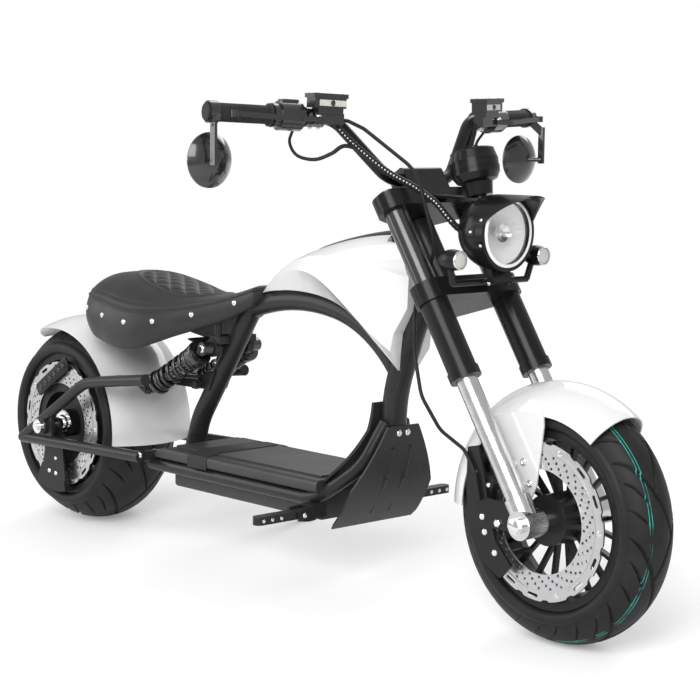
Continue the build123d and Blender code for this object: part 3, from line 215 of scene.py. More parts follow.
def piece(name, parts, body, look, replaces=(), sharp=35.0, uv=None, marks=None):
    """One object from lists of points in millimetres and their faces, welded and facing outwards."""
    points, faces, base = [], [], 0
    for group, members in parts:
        points.append(np.asarray(group, float))
        faces.extend([[int(index) + base for index in member] for member in members])
        base += len(group)
    mesh = bpy.data.meshes.new(name)
    mesh.from_pydata(standing(np.concatenate(points) * MM).tolist(), [], faces)
    if uv is not None:
        layer = mesh.uv_layers.new(name="UVMap")
        corners = np.empty(len(mesh.loops), int)
        mesh.loops.foreach_get("vertex_index", corners)
        layer.data.foreach_set("uv", np.asarray(uv, float)[corners].ravel())
    for label, values in (marks or {}).items():
        mark = mesh.attributes.new(label, "FLOAT", "POINT")
        mark.data.foreach_set("value", np.asarray(values, float).ravel())
    cloth = bmesh.new()
    cloth.from_mesh(mesh)
    bmesh.ops.remove_doubles(cloth, verts=cloth.verts, dist=2e-6)
    bmesh.ops.dissolve_degenerate(cloth, edges=cloth.edges, dist=1e-7)
    bmesh.ops.recalc_face_normals(cloth, faces=cloth.faces)
    cloth.to_mesh(mesh)
    cloth.free()
    mesh.polygons.foreach_set("use_smooth", [True] * len(mesh.polygons))
    mesh.set_sharp_from_angle(angle=math.radians(sharp))
    mesh.materials.append(finish(look))
    item = bpy.data.objects.new(name, mesh)
    bpy.context.scene.collection.objects.link(item)
    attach(item, body)
    if replaces:
        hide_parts(*replaces)
    return item


def mirrored(parts):
    """Parts on one side of the machine with their mirror images on the other."""
    return parts + [(np.asarray(points, float) * (1.0, -1.0, 1.0), faces) for points, faces in parts]


def bright_piece(name, parts, body):
    """A piece of chromed steel."""
    return piece(name, parts, body, "chrome")


def bolt(place, direction, radius, height=None, segments=20):
    """A button head with a round socket, standing on a place."""
    height = height or 0.6 * radius
    profile = [
        (-0.3, 0.0), (-0.3, radius), (0.35 * height, radius),
        (0.8 * height, 0.8 * radius), (height, 0.55 * radius), (height, 0.42 * radius),
        (0.35 * height, 0.38 * radius), (0.35 * height, 0.0),
    ]
    return lathe(profile, place, direction, segments)


def hex_nut(place, direction, radius, height):
    """A six-sided nut with a domed top, standing on a place."""
    profile = [(-0.3, 0.0), (-0.3, radius), (0.8 * height, radius), (height, 0.82 * radius), (height, 0.0)]
    return lathe(profile, place, direction, 6)


# Materials

def put(owner, kind, values=None, links=None, **settings):
    """A shader node with its settings, plain values on its sockets, and sockets fed by others."""
    tree = owner.node_tree
    node = tree.nodes.new("ShaderNode" + kind)
    for name, value in settings.items():
        setattr(node, name, value)
    for socket, value in (values or {}).items():
        node.inputs[socket].default_value = value
    for socket, source in (links or {}).items():
        tree.links.new(source, node.inputs[socket])
    return node


def shader(name, colour, rough, metal=0.0, coat=0.0, coat_rough=0.05, specular=0.5):
    """A material with one Principled shader and its plain values set on its own sockets."""
    material = bpy.data.materials.new(name)
    material.use_nodes = True
    surface = material.node_tree.nodes["Principled BSDF"]
    surface.inputs["Base Color"].default_value = (*colour, 1.0)
    surface.inputs["Roughness"].default_value = rough
    surface.inputs["Metallic"].default_value = metal
    surface.inputs["Coat Weight"].default_value = coat
    surface.inputs["Coat Roughness"].default_value = coat_rough
    surface.inputs["Specular IOR Level"].default_value = specular
    return material, surface


def noise(material, scale, detail):
    """Noise on Object coordinates."""
    place = put(material, "TexCoord").outputs["Object"]
    return put(material, "TexNoise", {"Scale": scale, "Detail": detail}, {"Vector": place}).outputs["Fac"]


def spread(material, field, low, high, surface):
    """A field's middle range carried to a range of roughness."""
    values = {"From Min": 0.3, "From Max": 0.7, "To Min": low, "To Max": high}
    ramp = put(material, "MapRange", values, {"Value": field})
    material.node_tree.links.new(ramp.outputs["Result"], surface.inputs["Roughness"])


def tint(material, field, low, high, surface):
    """A field's middle range carried between two colours of the surface."""
    ramp = put(material, "ValToRGB", links={"Fac": field})
    first, second = ramp.color_ramp.elements
    first.position, second.position = 0.35, 0.65
    first.color, second.color = (*low, 1.0), (*high, 1.0)
    material.node_tree.links.new(ramp.outputs["Color"], surface.inputs["Base Color"])


def bump(material, field, surface, strength, distance):
    """A field as bump on a surface."""
    relief = put(material, "Bump", {"Strength": strength, "Distance": distance}, {"Height": field})
    material.node_tree.links.new(relief.outputs["Normal"], surface.inputs["Normal"])


def grained(name, colour, rough, grain, broad=None, sheen=None, colours=None, **shine):
    """A material with a fine grain as bump, and broad noise in its sheen and its colour.

    The grain is a noise's scale and detail, then the bump's strength and distance in metres.
    """
    material, surface = shader(name, colour, rough, **shine)
    scale, detail, strength, distance = grain
    bump(material, noise(material, scale, detail), surface, strength, distance)
    if broad:
        field = noise(material, *broad)
        if sheen:
            spread(material, field, *sheen, surface)
        if colours:
            tint(material, field, *colours, surface)
    return material


def powder_coat(name, colour, rough):
    """Satin powder coat: fine orange peel and a little unevenness in its sheen."""
    lighter = tuple(min(1.0, value * 1.25 + 0.002) for value in colour)
    return grained(name, colour, rough, (900.0, 2.0, 0.12, 0.0004), (9.0, 3.0), (rough - 0.05, rough + 0.07),
                   (colour, lighter), coat=0.10, coat_rough=0.14, specular=0.22)


def gloss_white(name):
    """Pearl white lacquer under a clear coat."""
    colours = ((0.76, 0.76, 0.765), (0.82, 0.82, 0.825))
    return grained(name, (0.80, 0.80, 0.80), 0.28, (2500.0, 1.0, 0.03, 0.0002), (4.0, 2.0), None, colours,
                   coat=1.0, coat_rough=0.03)


def gloss_black(name):
    """Glossy black lacquer."""
    return grained(name, (0.012, 0.012, 0.012), 0.25, (700.0, 2.0, 0.04, 0.0002), (30.0, 3.0), (0.2, 0.34),
                   coat=1.0, coat_rough=0.06)


def painted_reflection_bowl(name):
    """Reflector bowl in near-white, barely metallic paint: its white base colour stands in for the plated
    bowl's reflection of bright surroundings, a painted reflection.
    """
    return grained(name, (0.98, 0.98, 0.98), 0.18, (90.0, 2.0, 0.15, 0.0006), metal=0.1, coat=0.8)


def plain_metal(name, colour, rough):
    """Bare metal whose sheen varies a little, over very fine machining marks."""
    colours = (colour, tuple(v * 1.05 for v in colour))
    return grained(name, colour, rough, (3000.0, 1.0, 0.02, 0.00005), (60.0, 3.0),
                   (rough - 0.03, rough + 0.05), colours, metal=1.0)


def rubber(name, colour, rough=0.62):
    """Rubber with a fine grain and a faint bloom."""
    colours = (colour, tuple(v * 1.35 + 0.003 for v in colour))
    return grained(name, colour, rough, (1400.0, 3.0, 0.2, 0.0003), (14.0, 4.0), None, colours, specular=0.26)


def moulded(name, colour, rough=0.5):
    """Moulded plastic with a spark-eroded grain."""
    return grained(name, colour, rough, (1100.0, 5.0, 0.25, 0.0004), (7.0, 3.0), (rough - 0.06, rough + 0.06))


def leatherette(name, colour):
    """Black leatherette: close pebble grain over broad soft creases."""
    material, surface = shader(name, colour, 0.46, coat=0.08, coat_rough=0.4)
    place = put(material, "TexCoord").outputs["Object"]
    pebbles = put(material, "TexVoronoi", {"Scale": 900.0}, {"Vector": place})
    bump(material, pebbles.outputs["Distance"], surface, 0.25, 0.0004)
    broad = noise(material, 18.0, 4.0)
    spread(material, broad, 0.40, 0.54, surface)
    tint(material, broad, colour, tuple(v * 1.3 for v in colour), surface)
    return material


GROOVE_SHADE_BLACK = (0.002, 0.002, 0.002, 1.0)
LINE_TEAL = (0.02, 0.42, 0.36, 1.0)
TREAD_LINES = [0.400, 0.383, 0.600, 0.617]
LINE_HALF = 0.0022


def tread_rubber(name, colour, lined):
    """Tyre rubber with painted shade, darker in its grooves by the mesh's groove mark, with thin teal lines
    beside the tread's middle where lined.
    """
    material = rubber(name, colour, 0.5)
    base = material.node_tree.nodes["Principled BSDF"].inputs["Base Color"]
    # Painted shade: the groove mark mixes the rubber towards near-black where the tread is cut.
    depth = put(material, "Attribute", attribute_name="groove").outputs["Fac"]
    links = {"Factor": depth, "A": base.links[0].from_socket}
    shown = put(material, "Mix", {"B": GROOVE_SHADE_BLACK}, links, data_type="RGBA").outputs["Result"]
    if lined:
        place = put(material, "UVMap", uv_map="UVMap").outputs["UV"]
        tread = put(material, "SeparateXYZ", links={0: place}).outputs["Y"]
        masks = [put(material, "Math", {1: middle, 2: LINE_HALF}, {0: tread}, operation="COMPARE").outputs[0]
                 for middle in TREAD_LINES]
        total = masks[0]
        for mask in masks[1:]:
            total = put(material, "Math", links={0: total, 1: mask}, operation="MAXIMUM").outputs[0]
        wear = {"Value": noise(material, 26.0, 3.0)}
        worn = put(material, "MapRange", {"From Min": 0.40, "From Max": 0.55}, wear).outputs["Result"]
        left = put(material, "Math", links={0: total, 1: worn}, operation="MULTIPLY").outputs[0]
        links = {"Factor": left, "A": shown}
        shown = put(material, "Mix", {"B": LINE_TEAL}, links, data_type="RGBA").outputs["Result"]
    material.node_tree.links.new(shown, base)
    return material


def clear_glass(name):
    """Clear polycarbonate lens."""
    material = grained(name, (0.95, 0.96, 0.97), 0.03, (120.0, 1.0, 0.1, 0.0006))
    surface = material.node_tree.nodes["Principled BSDF"]
    surface.inputs["Transmission Weight"].default_value = 1.0
    surface.inputs["IOR"].default_value = 1.25
    surface.inputs["Alpha"].default_value = 0.16
    return material


def mirror_glass(name):
    """A clean mirror."""
    return shader(name, (0.8, 0.82, 0.84), 0.02, 1.0)[0]


FINISHES = {}


def finish(name):
    """The material of a name, made once from the scene's colours."""
    if name in FINISHES:
        return FINISHES[name]
    colours = bpy.context.scene.scooter_colours
    makers = {
        "body_white": (gloss_white,),
        "frame_grey": (powder_coat, tuple(colours.frame), 0.29),
        "satin_black": (powder_coat, tuple(colours.black), 0.26),
        "cast_black": (powder_coat, (0.012, 0.012, 0.0125), 0.40),
        "fork_silver": (plain_metal, (0.66, 0.665, 0.67), 0.24),
        "chrome": (plain_metal, (0.80, 0.80, 0.81), 0.08),
        "disc_steel": (plain_metal, (0.60, 0.60, 0.61), 0.30),
        "reflector": (painted_reflection_bowl,),
        "gloss_black": (gloss_black,),
        "dial_glass": (gloss_black,),
        "hose_black": (rubber, (0.012, 0.012, 0.012), 0.45),
        "grip_rubber": (rubber, (0.02, 0.02, 0.02)),
        "tyre_rubber": (tread_rubber, (0.013, 0.013, 0.0135), False),
        "lined_rubber": (tread_rubber, (0.013, 0.013, 0.0135), True),
        "scale_white": (moulded, (0.75, 0.75, 0.74), 0.6),
        "lens_pale": (moulded, (0.62, 0.60, 0.56), 0.12),
        "deck_plastic": (moulded, (0.035, 0.035, 0.037)),
        "lens_clear": (clear_glass,),
        "seat_cover": (leatherette, (0.014, 0.014, 0.0145)),
        "mirror_face": (mirror_glass,),
    }
    maker, *values = makers[name]
    FINISHES[name] = maker(name, *values)
    return FINISHES[name]


NODE_FINISHES = {
    "body_white": ["tank", "front_fender", "rear_fender"],
    "frame_grey": ["frame", "arm_left", "arm_right", "arm_bridge", "apron", "side_stand", "foot_pegs"],
    "satin_black": [
        "lower_clamp", "upper_clamp", "fork_sleeves", "handlebar", "headlight_housing", "speedometer",
        "lamp_bracket", "indicators",
    ],
    "fork_silver": ["fork_lowers"],
    "chrome": ["front_axle", "rear_axle"],
    "cast_black": ["front_rim", "rear_rim", "hub_motor", "front_caliper", "rear_caliper"],
    "gloss_black": ["fork_tubes", "brake_controls", "switches", "shock_dampers", "mirrors"],
    "hose_black": ["brake_hose", "frame_cable"],
    "grip_rubber": ["foot_board"],
    "deck_plastic": ["deck_box", "deck_cover"],
    "lens_clear": ["headlight_lens"],
    "mirror_face": ["mirror_glass"],
}


def colour_setting(name, description, default):
    """A colour that the panel shows."""
    return FloatVectorProperty(name=name, description=description, subtype="COLOR", size=3, min=0.0, max=1.0,
                               default=default)


class ScooterColours(bpy.types.PropertyGroup):
    """Colours that a user would change."""
    frame: colour_setting("Frame", "Satin grey of the frame and the arms", (0.019, 0.019, 0.0195))
    black: colour_setting("Black parts", "Satin black of the fork, bars and lamps", (0.008, 0.008, 0.0085))
    floor: colour_setting("Floor", "Colour of the floor and the backdrop", (0.86, 0.86, 0.86))


class SCOOTER_OT_finishes(bpy.types.Operator):
    """Gives the solids that show their materials"""
    bl_idname = "scooter.finishes"
    bl_label = "Finishes of the solids"

    def execute(self, context):
        for name, members in NODE_FINISHES.items():
            for member in members:
                materials = NODES[member].data.materials
                materials.clear()
                materials.append(finish(name))
        return {"FINISHED"}


# Tyres

TYRE_RADIUS, BEAD_RADIUS, WALL_FOOT = 228.0, 152.4, 163.0
WALL_POINTS, CROWN_POINTS, TYRE_TURNS = 15, 79, 600
GROOVES, DEEPEST_GROOVE = 9, 4.4
GROOVE_ROWS = [
    # start and end as shares of the tread's half width, degrees swept, power of the bend, width, depth,
    # share of a step turned
    (0.97, -0.26, 44, 1.7, 6.4, 4.2, 0.00),
    (0.97, 0.46, 8, 1.6, 5.0, 3.6, 0.36),
    (0.90, 0.38, 13, 1.6, 4.4, 3.4, 0.70),
]
WALL_RIDGES = [14.4, 29.76]
TYRES = [
    # name, wheel's body, axle, half width, bead half, shoulder half, shoulder drop, solid
    ("front_tyre_tread", "front_wheel", FRONT_AXLE, 57.0, 42.0, 52.5, 42.0, "front_tyre"),
    ("rear_tyre_tread", "rear_wheel", REAR_AXLE, 98.0, 80.0, 86.0, 40.0, "rear_tyre"),
]


def smooth(value, low, high):
    """A smooth step from 0 at low to 1 at high."""
    t = np.clip((value - low) / (high - low), 0, 1)
    return t * t * (3 - 2 * t)


def groove_depth(angle, across_tread, half, start, end, sweep, power, width, depth, offset):
    """Depth of grooves that leave a shoulder square to it and bend round to follow the tread."""
    reach = (start * half - across_tread) / ((start - end) * half)
    inside = smooth(reach, -0.02, 0.05) * smooth(-reach, -1.02, -0.86)
    share = np.clip(reach, 0, 1)
    sweep = math.radians(sweep)
    slope = TYRE_RADIUS * sweep * power * np.maximum(share, 0.02) ** (power - 1) / ((start - end) * half)
    step = FULL_TURN / GROOVES
    gap = (angle - offset + sweep * share ** power + step / 2) % step - step / 2
    distance = np.abs(gap) * TYRE_RADIUS / np.sqrt(1 + slope ** 2)
    half_width = width / 2 * (0.45 + 0.55 * np.sin(math.pi * np.clip(share, 0.05, 0.95)))
    return depth * inside * (1 - smooth(distance, half_width - 0.9, half_width + 0.9))


def tyre_parts(axle, half, bead_half, shoulder, drop):
    """Rings of the tyre's section about the axle, with its grooves cut towards the axle.

    Distance out is the section's arc less the grooves' depth at each angle and place across.
    """
    edge = (TYRE_RADIUS - drop, shoulder)
    wall = arc((WALL_FOOT, bead_half), (edge[0] - 14, half), edge, WALL_POINTS)[:-1]
    crown = arc(edge, (TYRE_RADIUS, 0.0), (edge[0], -shoulder), CROWN_POINTS)
    bead = [(BEAD_RADIUS, share * bead_half) for share in (1, -1, -1 / 3, 1 / 3)]
    section = np.concatenate([bead[:1], wall, crown, wall[::-1] * (1, -1), bead[1:]])
    run = distance_along(section)
    ends = run[[WALL_POINTS, WALL_POINTS + CROWN_POINTS - 1]]
    tread, width = run - ends.mean(), (ends[1] - ends[0]) / 2
    from_middle = np.abs(tread)[None]
    angle = turns(TYRE_TURNS)[:, None]
    cut = np.zeros((TYRE_TURNS, len(section)))
    for way, offset in ((1, 0.0), (-1, 0.5)):
        for *groove, turned in GROOVE_ROWS:
            shift = (offset + turned) * FULL_TURN / GROOVES
            cut += groove_depth(angle, way * tread[None], width, *groove, shift)
    cut = np.where(from_middle <= width, np.minimum(cut, DEEPEST_GROOVE), 0.0)
    cut += 0.9 * (1 - smooth(np.abs(from_middle - 0.985 * width), 0.4, 1.4))
    for ridge in WALL_RIDGES:
        cut -= 0.7 * (1 - smooth(np.abs(from_middle - width - ridge), 0.4, 2.6))
    cut[:, [0, -3, -2, -1]] = 0
    out = section[None, :, 0] - cut
    flat = np.broadcast_to(section[None, :, 1], out.shape)
    points = np.stack([out * np.cos(angle), flat, out * np.sin(angle)], -1) + 1000 * axle
    strip = np.broadcast_to((0.5 + 0.25 * tread / width)[None], out.shape)
    round_it = np.broadcast_to(angle / FULL_TURN, out.shape)
    return points, np.stack([round_it, strip], -1).reshape(-1, 2), cut


class SCOOTER_OT_tyres(bpy.types.Operator):
    """Makes both tyres with their bent grooves"""
    bl_idname = "scooter.tyres"
    bl_label = "Tyres"

    def execute(self, context):
        for name, body, axle, half, bead, shoulder, drop, node in TYRES:
            points, uv, cut = tyre_parts(axle, half, bead, shoulder, drop)
            look = "lined_rubber" if body == "front_wheel" else "tyre_rubber"
            # The groove mark is painted shade, darkest where the tread is cut deepest.
            marks = {"groove": np.clip(cut / 3.0, 0, 1)}
            piece(name, [grid(points, True, True)], body, look, (node,), 50.0, uv, marks)
        return {"FINISHED"}


# Brake discs

DISC_OUTER, CARRIER_INNER, BAND_OUTER, BAND_INNER = 143.0, 125.4, 124.4, 94.0
DISC_BOLTS, BOLT_CIRCLE, SLOT_CIRCLE = 5, 133.0, 134.0
ROW_HOLES, HOLE_RADIUS = 28, 2.6
DISC_ROWS = [
    # distance from the axle, share of a step turned
    (99.5, 0.00),
    (106.5, 0.33),
    (113.5, 0.66),
    (119.8, 0.00),
]
DISC_PIECES = [
    ("front_disc_plate", "front_wheel", FRONT_AXLE, -62.0, "front_disc"),
    ("rear_disc_plate", "rear_wheel", REAR_AXLE, -93.0, "rear_disc"),
]


def circle_points(radius, count, centre=(0.0, 0.0)):
    """Points round a circle."""
    return radius * np.stack([np.cos(turns(count)), np.sin(turns(count))], -1) + centre


def slot_points(angle, radius, length, width):
    """Points round a slot that lies square to its radius."""
    ends = np.linspace(-math.pi / 2, math.pi / 2, 6)
    right = width / 2 * np.stack([np.cos(ends), np.sin(ends)], -1) + ((length - width) / 2, 0)
    outline = np.concatenate([right, -right])
    c, s = math.cos(angle), math.sin(angle)
    along, out = np.array([-s, c]), np.array([c, s])
    return radius * out + outline[:, :1] * along + outline[:, 1:] * out


def pierced_plate(loops, half):
    """A flat plate of an outline and its holes, filled and given its thickness."""
    curve = bpy.data.curves.new("outline", "CURVE")
    curve.dimensions = "2D"
    curve.fill_mode = "BOTH"
    curve.extrude = half
    curve.bevel_depth = 0.25
    curve.offset = -0.25
    for loop in loops:
        line = curve.splines.new("POLY")
        line.points.add(len(loop) - 1)
        flat = np.column_stack([loop, np.zeros(len(loop)), np.ones(len(loop))])
        line.points.foreach_set("co", flat.ravel())
        line.use_cyclic_u = True
    holder = bpy.data.objects.new("outline", curve)
    mesh = bpy.data.meshes.new_from_object(holder)
    points = np.empty(len(mesh.vertices) * 3)
    mesh.vertices.foreach_get("co", points)
    faces = [tuple(face.vertices) for face in mesh.polygons]
    bpy.data.objects.remove(holder)
    bpy.data.curves.remove(curve)
    bpy.data.meshes.remove(mesh)
    return points.reshape(-1, 3), faces


def disc_loops():
    """The carrier ring with lobes and slots, and the drilled band inside it."""
    angles = turns(360)
    out = np.full(360, DISC_OUTER)
    lobe = FULL_TURN / DISC_BOLTS
    for number in range(3 * DISC_BOLTS):
        bite = (number + 0.5) * lobe / 3
        gap = np.abs((angles - bite + math.pi) % FULL_TURN - math.pi)
        out = np.minimum(out, DISC_OUTER - 3.4 * (1 - smooth(gap * DISC_OUTER, 5.0, 9.5)))
    carrier = [out[:, None] * circle_points(1.0, 360), circle_points(CARRIER_INNER, 180)]
    for index in range(DISC_BOLTS):
        for share in (1 / 3, 2 / 3):
            carrier.append(slot_points((index + share) * lobe, SLOT_CIRCLE, 24.0, 6.0))
    band = [circle_points(BAND_OUTER, 180), circle_points(BAND_INNER, 150)]
    for radius, share in DISC_ROWS:
        for index in range(ROW_HOLES):
            angle = FULL_TURN * (index + share) / ROW_HOLES
            band.append(circle_points(HOLE_RADIUS, 10, round_point(angle, radius)[[0, 2]]))
    return carrier, band


class SCOOTER_OT_discs(bpy.types.Operator):
    """Makes both brake discs with their drilled bands and slotted carriers"""
    bl_idname = "scooter.discs"
    bl_label = "Brake discs"

    def execute(self, context):
        carrier, band = disc_loops()
        step = [(-1.0, 123.4), (-1.0, 126.6), (1.0, 126.6), (1.0, 123.4), (-1.0, 123.4)]
        for name, body, axle, middle, node in DISC_PIECES:
            centre = 1000 * axle + (0, middle, 0)
            parts = []
            for loops, half in ((carrier, 1.7), (band, 1.5)):
                points, faces = pierced_plate(loops, half)
                parts.append((points[:, [0, 2, 1]] + centre, faces))
            parts.append(lathe(step, centre, (0, 1, 0), 180))
            piece(name, parts, body, "disc_steel", (node,), 25.0)
            bolts = [bolt(centre + round_point(angle, BOLT_CIRCLE, -1.6), (0, -1, 0), 5.2, 0.7)
                     for angle in turns(DISC_BOLTS)]
            bright_piece(name.replace("plate", "bolts"), bolts, body)
        return {"FINISHED"}


# Saddle

SADDLE_ROWS = [
    # x, half width at the rim, rim z, crown z, bulge of the skirt, bottom z
    (-628, 40, 552, 566, 12, 500),
    (-585, 104, 548, 582, 10, 468),
    (-494, 134, 536, 590, 8, 440),
    (-400, 132, 524, 578, 6, 434),
    (-290, 92, 532, 560, 6, 470),
    (-180, 54, 556, 566, 4, 508),
    (-97, 32, 583, 590, 4, 546),
]
SADDLE_TAIL, SADDLE_NOSE = -630.0, -97.0
SADDLE_TURNS, TOP_RINGS, SKIRT_RINGS = 480, 64, 30
QUILT_PLACE, QUILT_LENGTH, QUILT_WIDTH = -378.0, 132.0, 66.0
LOZENGE_LENGTH, LOZENGE_WIDTH = 52.0, 38.0


def saddle_row(x, column):
    """A column of the saddle's table at a place along it, by cubics through its rows."""
    rows = np.array(SADDLE_ROWS, float)
    known, value = rows[:, 0], rows[:, column]
    place = np.clip(x, known[0], known[-1])
    slope = np.gradient(value, known)
    index = np.clip(np.searchsorted(known, place) - 1, 0, len(known) - 2)
    width = known[index + 1] - known[index]
    t = (place - known[index]) / width
    ahead = 3 * t ** 2 - 2 * t ** 3
    return ((1 - ahead) * value[index] + ahead * value[index + 1]
            + width * t * (1 - t) * ((1 - t) * slope[index] - t * slope[index + 1]))


def saddle_outline(turn):
    """The rim in plan by a turn from the nose round the left side to the tail and back."""
    x = SADDLE_TAIL + (SADDLE_NOSE - SADDLE_TAIL) * (0.5 + 0.5 * np.cos(turn))
    ends = np.sqrt(np.clip((x - SADDLE_TAIL) / 24.0, 0, 1)) * np.sqrt(np.clip((SADDLE_NOSE - x) / 10.0, 0, 1))
    return x, saddle_row(x, 1) * ends * np.sign(np.sin(turn))


def bell(value, middle, width):
    """A smooth hump of height one."""
    return math.exp(-((value - middle) / width) ** 2)


def quilting(x, y):
    """Height of the quilted pad: lozenges that swell between sewn lines, within a rolled oval."""
    a, b = (x - QUILT_PLACE) / LOZENGE_LENGTH, y / LOZENGE_WIDTH
    puff = np.abs(np.sin(math.pi * (a + b))) * np.abs(np.sin(math.pi * (a - b)))
    inside = np.hypot((x - QUILT_PLACE) / QUILT_LENGTH, y / QUILT_WIDTH)
    pad = 1 - smooth(inside, 0.90, 0.97)
    roll = 1 - smooth(np.abs(inside - 1.07), 0.02, 0.09)
    seam = 1 - smooth(np.abs(inside - 0.97), 0.0, 0.035)
    return pad * (5.0 * puff ** 0.45 - 2.0) + 2.6 * roll - 1.8 * seam


def saddle_points():
    """Rings from the spine over the top to the rim, down the skirt, and back under it.

    The top rises from the rim to the crown as one less a power of the share outwards.
    """
    x, y = saddle_outline(turns(SADDLE_TURNS))
    spine = np.clip(x, SADDLE_TAIL + 60, SADDLE_NOSE - 14)
    rim, crown = saddle_row(x, 2), saddle_row(spine, 3)
    bulge, depth = saddle_row(x, 4), rim - saddle_row(x, 5)
    ahead = np.gradient(np.stack([x, y], -1), axis=0)
    out = ahead[:, ::-1] * (1, -1)
    out /= np.linalg.norm(out, axis=1)[:, None] + 1e-9
    for _ in range(12):
        out = (np.roll(out, 1, 0) + out + np.roll(out, -1, 0)) / 3
    out /= np.linalg.norm(out, axis=1)[:, None]
    rows = []
    for share in np.linspace(0, 1, TOP_RINGS):
        px, py = spine + (x - spine) * share, y * share
        height = rim + (crown - rim) * (1 - share ** 2.6)
        welt = 1.8 * bell(share, 0.955, 0.018) - 1.6 * bell(share, 0.915, 0.014)
        rows.append(np.stack([px, py, height + quilting(px, py) + welt - 3.0 * share ** 14], -1))
    for share in np.linspace(0.03, 1, SKIRT_RINGS):
        push = bulge * np.sin(math.pi * share * 0.93) + 2.2 * bell(share, 0.03, 0.03) - 6 * share ** 5
        rows.append(np.stack([x + out[:, 0] * push, y + out[:, 1] * push, rim - 3 - (depth - 3) * share], -1))
    inner = np.maximum(depth * 0.35, 10)
    for drop, inset in ((depth, 9.0), (inner, 10.0)):
        rows.append(np.stack([x - out[:, 0] * inset, y - out[:, 1] * inset * 0.8, rim - drop], -1))
    for share in (0.5, 0.0):
        rows.append(np.stack([spine + (x - spine) * share, y * share, rim - inner], -1))
    return np.array(rows)


SADDLE_STUDS = [-612, -560, -490, -415, -340, -250, -150]
STUD_RING = TOP_RINGS + 9


def saddle_studs(points):
    """Domed studs on a ring of the skirt, at the same places along both sides."""
    profile = [(-0.5, 0.0), (-0.5, 6.0), (0.6, 6.0), (2.2, 4.6), (3.2, 2.4), (3.6, 0.0)]
    ring = points[STUD_RING]
    side = SADDLE_TURNS // 2
    studs = []
    for x in SADDLE_STUDS:
        for start in (0, side):
            index = int(np.argmin(np.abs(ring[start:start + side, 0] - x))) + start
            ahead = ring[(index + 1) % SADDLE_TURNS] - ring[index - 1]
            down = points[STUD_RING + 1, index] - points[STUD_RING - 1, index]
            outward = unit(np.cross(down, ahead))
            if np.dot(outward[:2], ring[index, :2] - (-400.0, 0.0)) < 0:
                outward = -outward
            studs.append(lathe(profile, ring[index], outward, 20))
    return studs


class SCOOTER_OT_saddle(bpy.types.Operator):
    """Makes the saddle with its quilted pad, welt, skirt and studs"""
    bl_idname = "scooter.saddle"
    bl_label = "Saddle"

    def execute(self, context):
        points = saddle_points()
        top = grid(points, close_columns=True)
        saddle = piece("saddle", [top], "frame", "seat_cover", ("seat",), 60.0)
        bright_piece("saddle_studs", saddle_studs(points), "frame")
        return {"FINISHED"}


# Shock springs

SHOCK_LOW, SHOCK_HIGH = np.array([-410.0, 66.0, 343.0]), np.array([-222.0, 66.0, 447.0])
SHOCK_PIN_HALF = 11.0
SPRING_TURNS = 8


def coil(low, high, radius, wire, count):
    """A wire wound round a line, with its end turns lying close together.

    Its middle line is the place along the axis plus a circle; the pitch grows from the ends by a sine.
    """
    share = np.linspace(0, 1, count * 24 + 1)
    rise = share - 0.55 * np.sin(FULL_TURN * share) / FULL_TURN
    around = circle(FULL_TURN * count * share, *across(high - low))
    return tube(low + np.outer(rise, high - low) + radius * around, wire, 10)


class SCOOTER_OT_springs(bpy.types.Operator):
    """Makes both coil springs, their collars and the pins' nuts"""
    bl_idname = "scooter.springs"
    bl_label = "Shock springs"

    def execute(self, context):
        line = SHOCK_HIGH - SHOCK_LOW
        spring = coil(SHOCK_LOW + 0.19 * line, SHOCK_LOW + 0.81 * line, 21.2, 4.0, SPRING_TURNS)
        piece("springs", mirrored([spring]), "frame", "gloss_black", ("shock_springs",), 60.0)
        profile = [(0, 15), (0, 27.4), (2, 28.2), (7, 28.2), (9, 27.0), (9, 15)]
        collars = [lathe(profile, SHOCK_LOW + share * line, line, 32) for share in (0.125, 0.86)]
        piece("spring_seats", mirrored(collars), "frame", "gloss_black")
        nuts = [bolt(end + (0, SHOCK_PIN_HALF, 0), (0, 1, 0), 9.0, 5.0) for end in (SHOCK_LOW, SHOCK_HIGH)]
        bright_piece("shock_nuts", mirrored(nuts), "frame")
        return {"FINISHED"}


# Headlight, indicators and speedometer

LAMP_CENTRE = np.array([568.0, 0.0, 727.0])
INDICATOR_CENTRE = np.array([560.0, 112.0, 681.0])
CUP_PLACE, CUP_LEAN, DIAL_HEIGHT = np.array([500.0, 0.0, 792.0]), math.radians(15.7), 84.0
CUP_AXIS = np.array([-math.sin(CUP_LEAN), 0.0, math.cos(CUP_LEAN)])
FORWARD = (1, 0, 0)


def reflector(centre, radius, depth, flutes):
    """A bowl that opens forwards: its depth goes with the square of the distance out, less fine flutes."""
    out = np.linspace(0.0, 1.0, 26)[:, None]
    angle = turns(flutes * 8)[None]
    flute = 0.55 * np.abs(np.sin(angle * flutes / 2)) * smooth(out, 0.35, 0.55)
    x = depth * (out ** 2 - 1) + flute
    points = np.stack([x, radius * out * np.cos(angle), radius * out * np.sin(angle)], -1)
    return grid(points + centre, close_columns=True)


LAMP_SCREWS = [
    # place and direction, on the lamp's right side
    ((567.0, -67.2, 752.0), (0, -0.94, 0.34)),
    ((545.0, -71.2, 730.0), (0, -1, 0)),
    ((567.0, -68.2, 706.0), (0, -0.95, -0.31)),
]


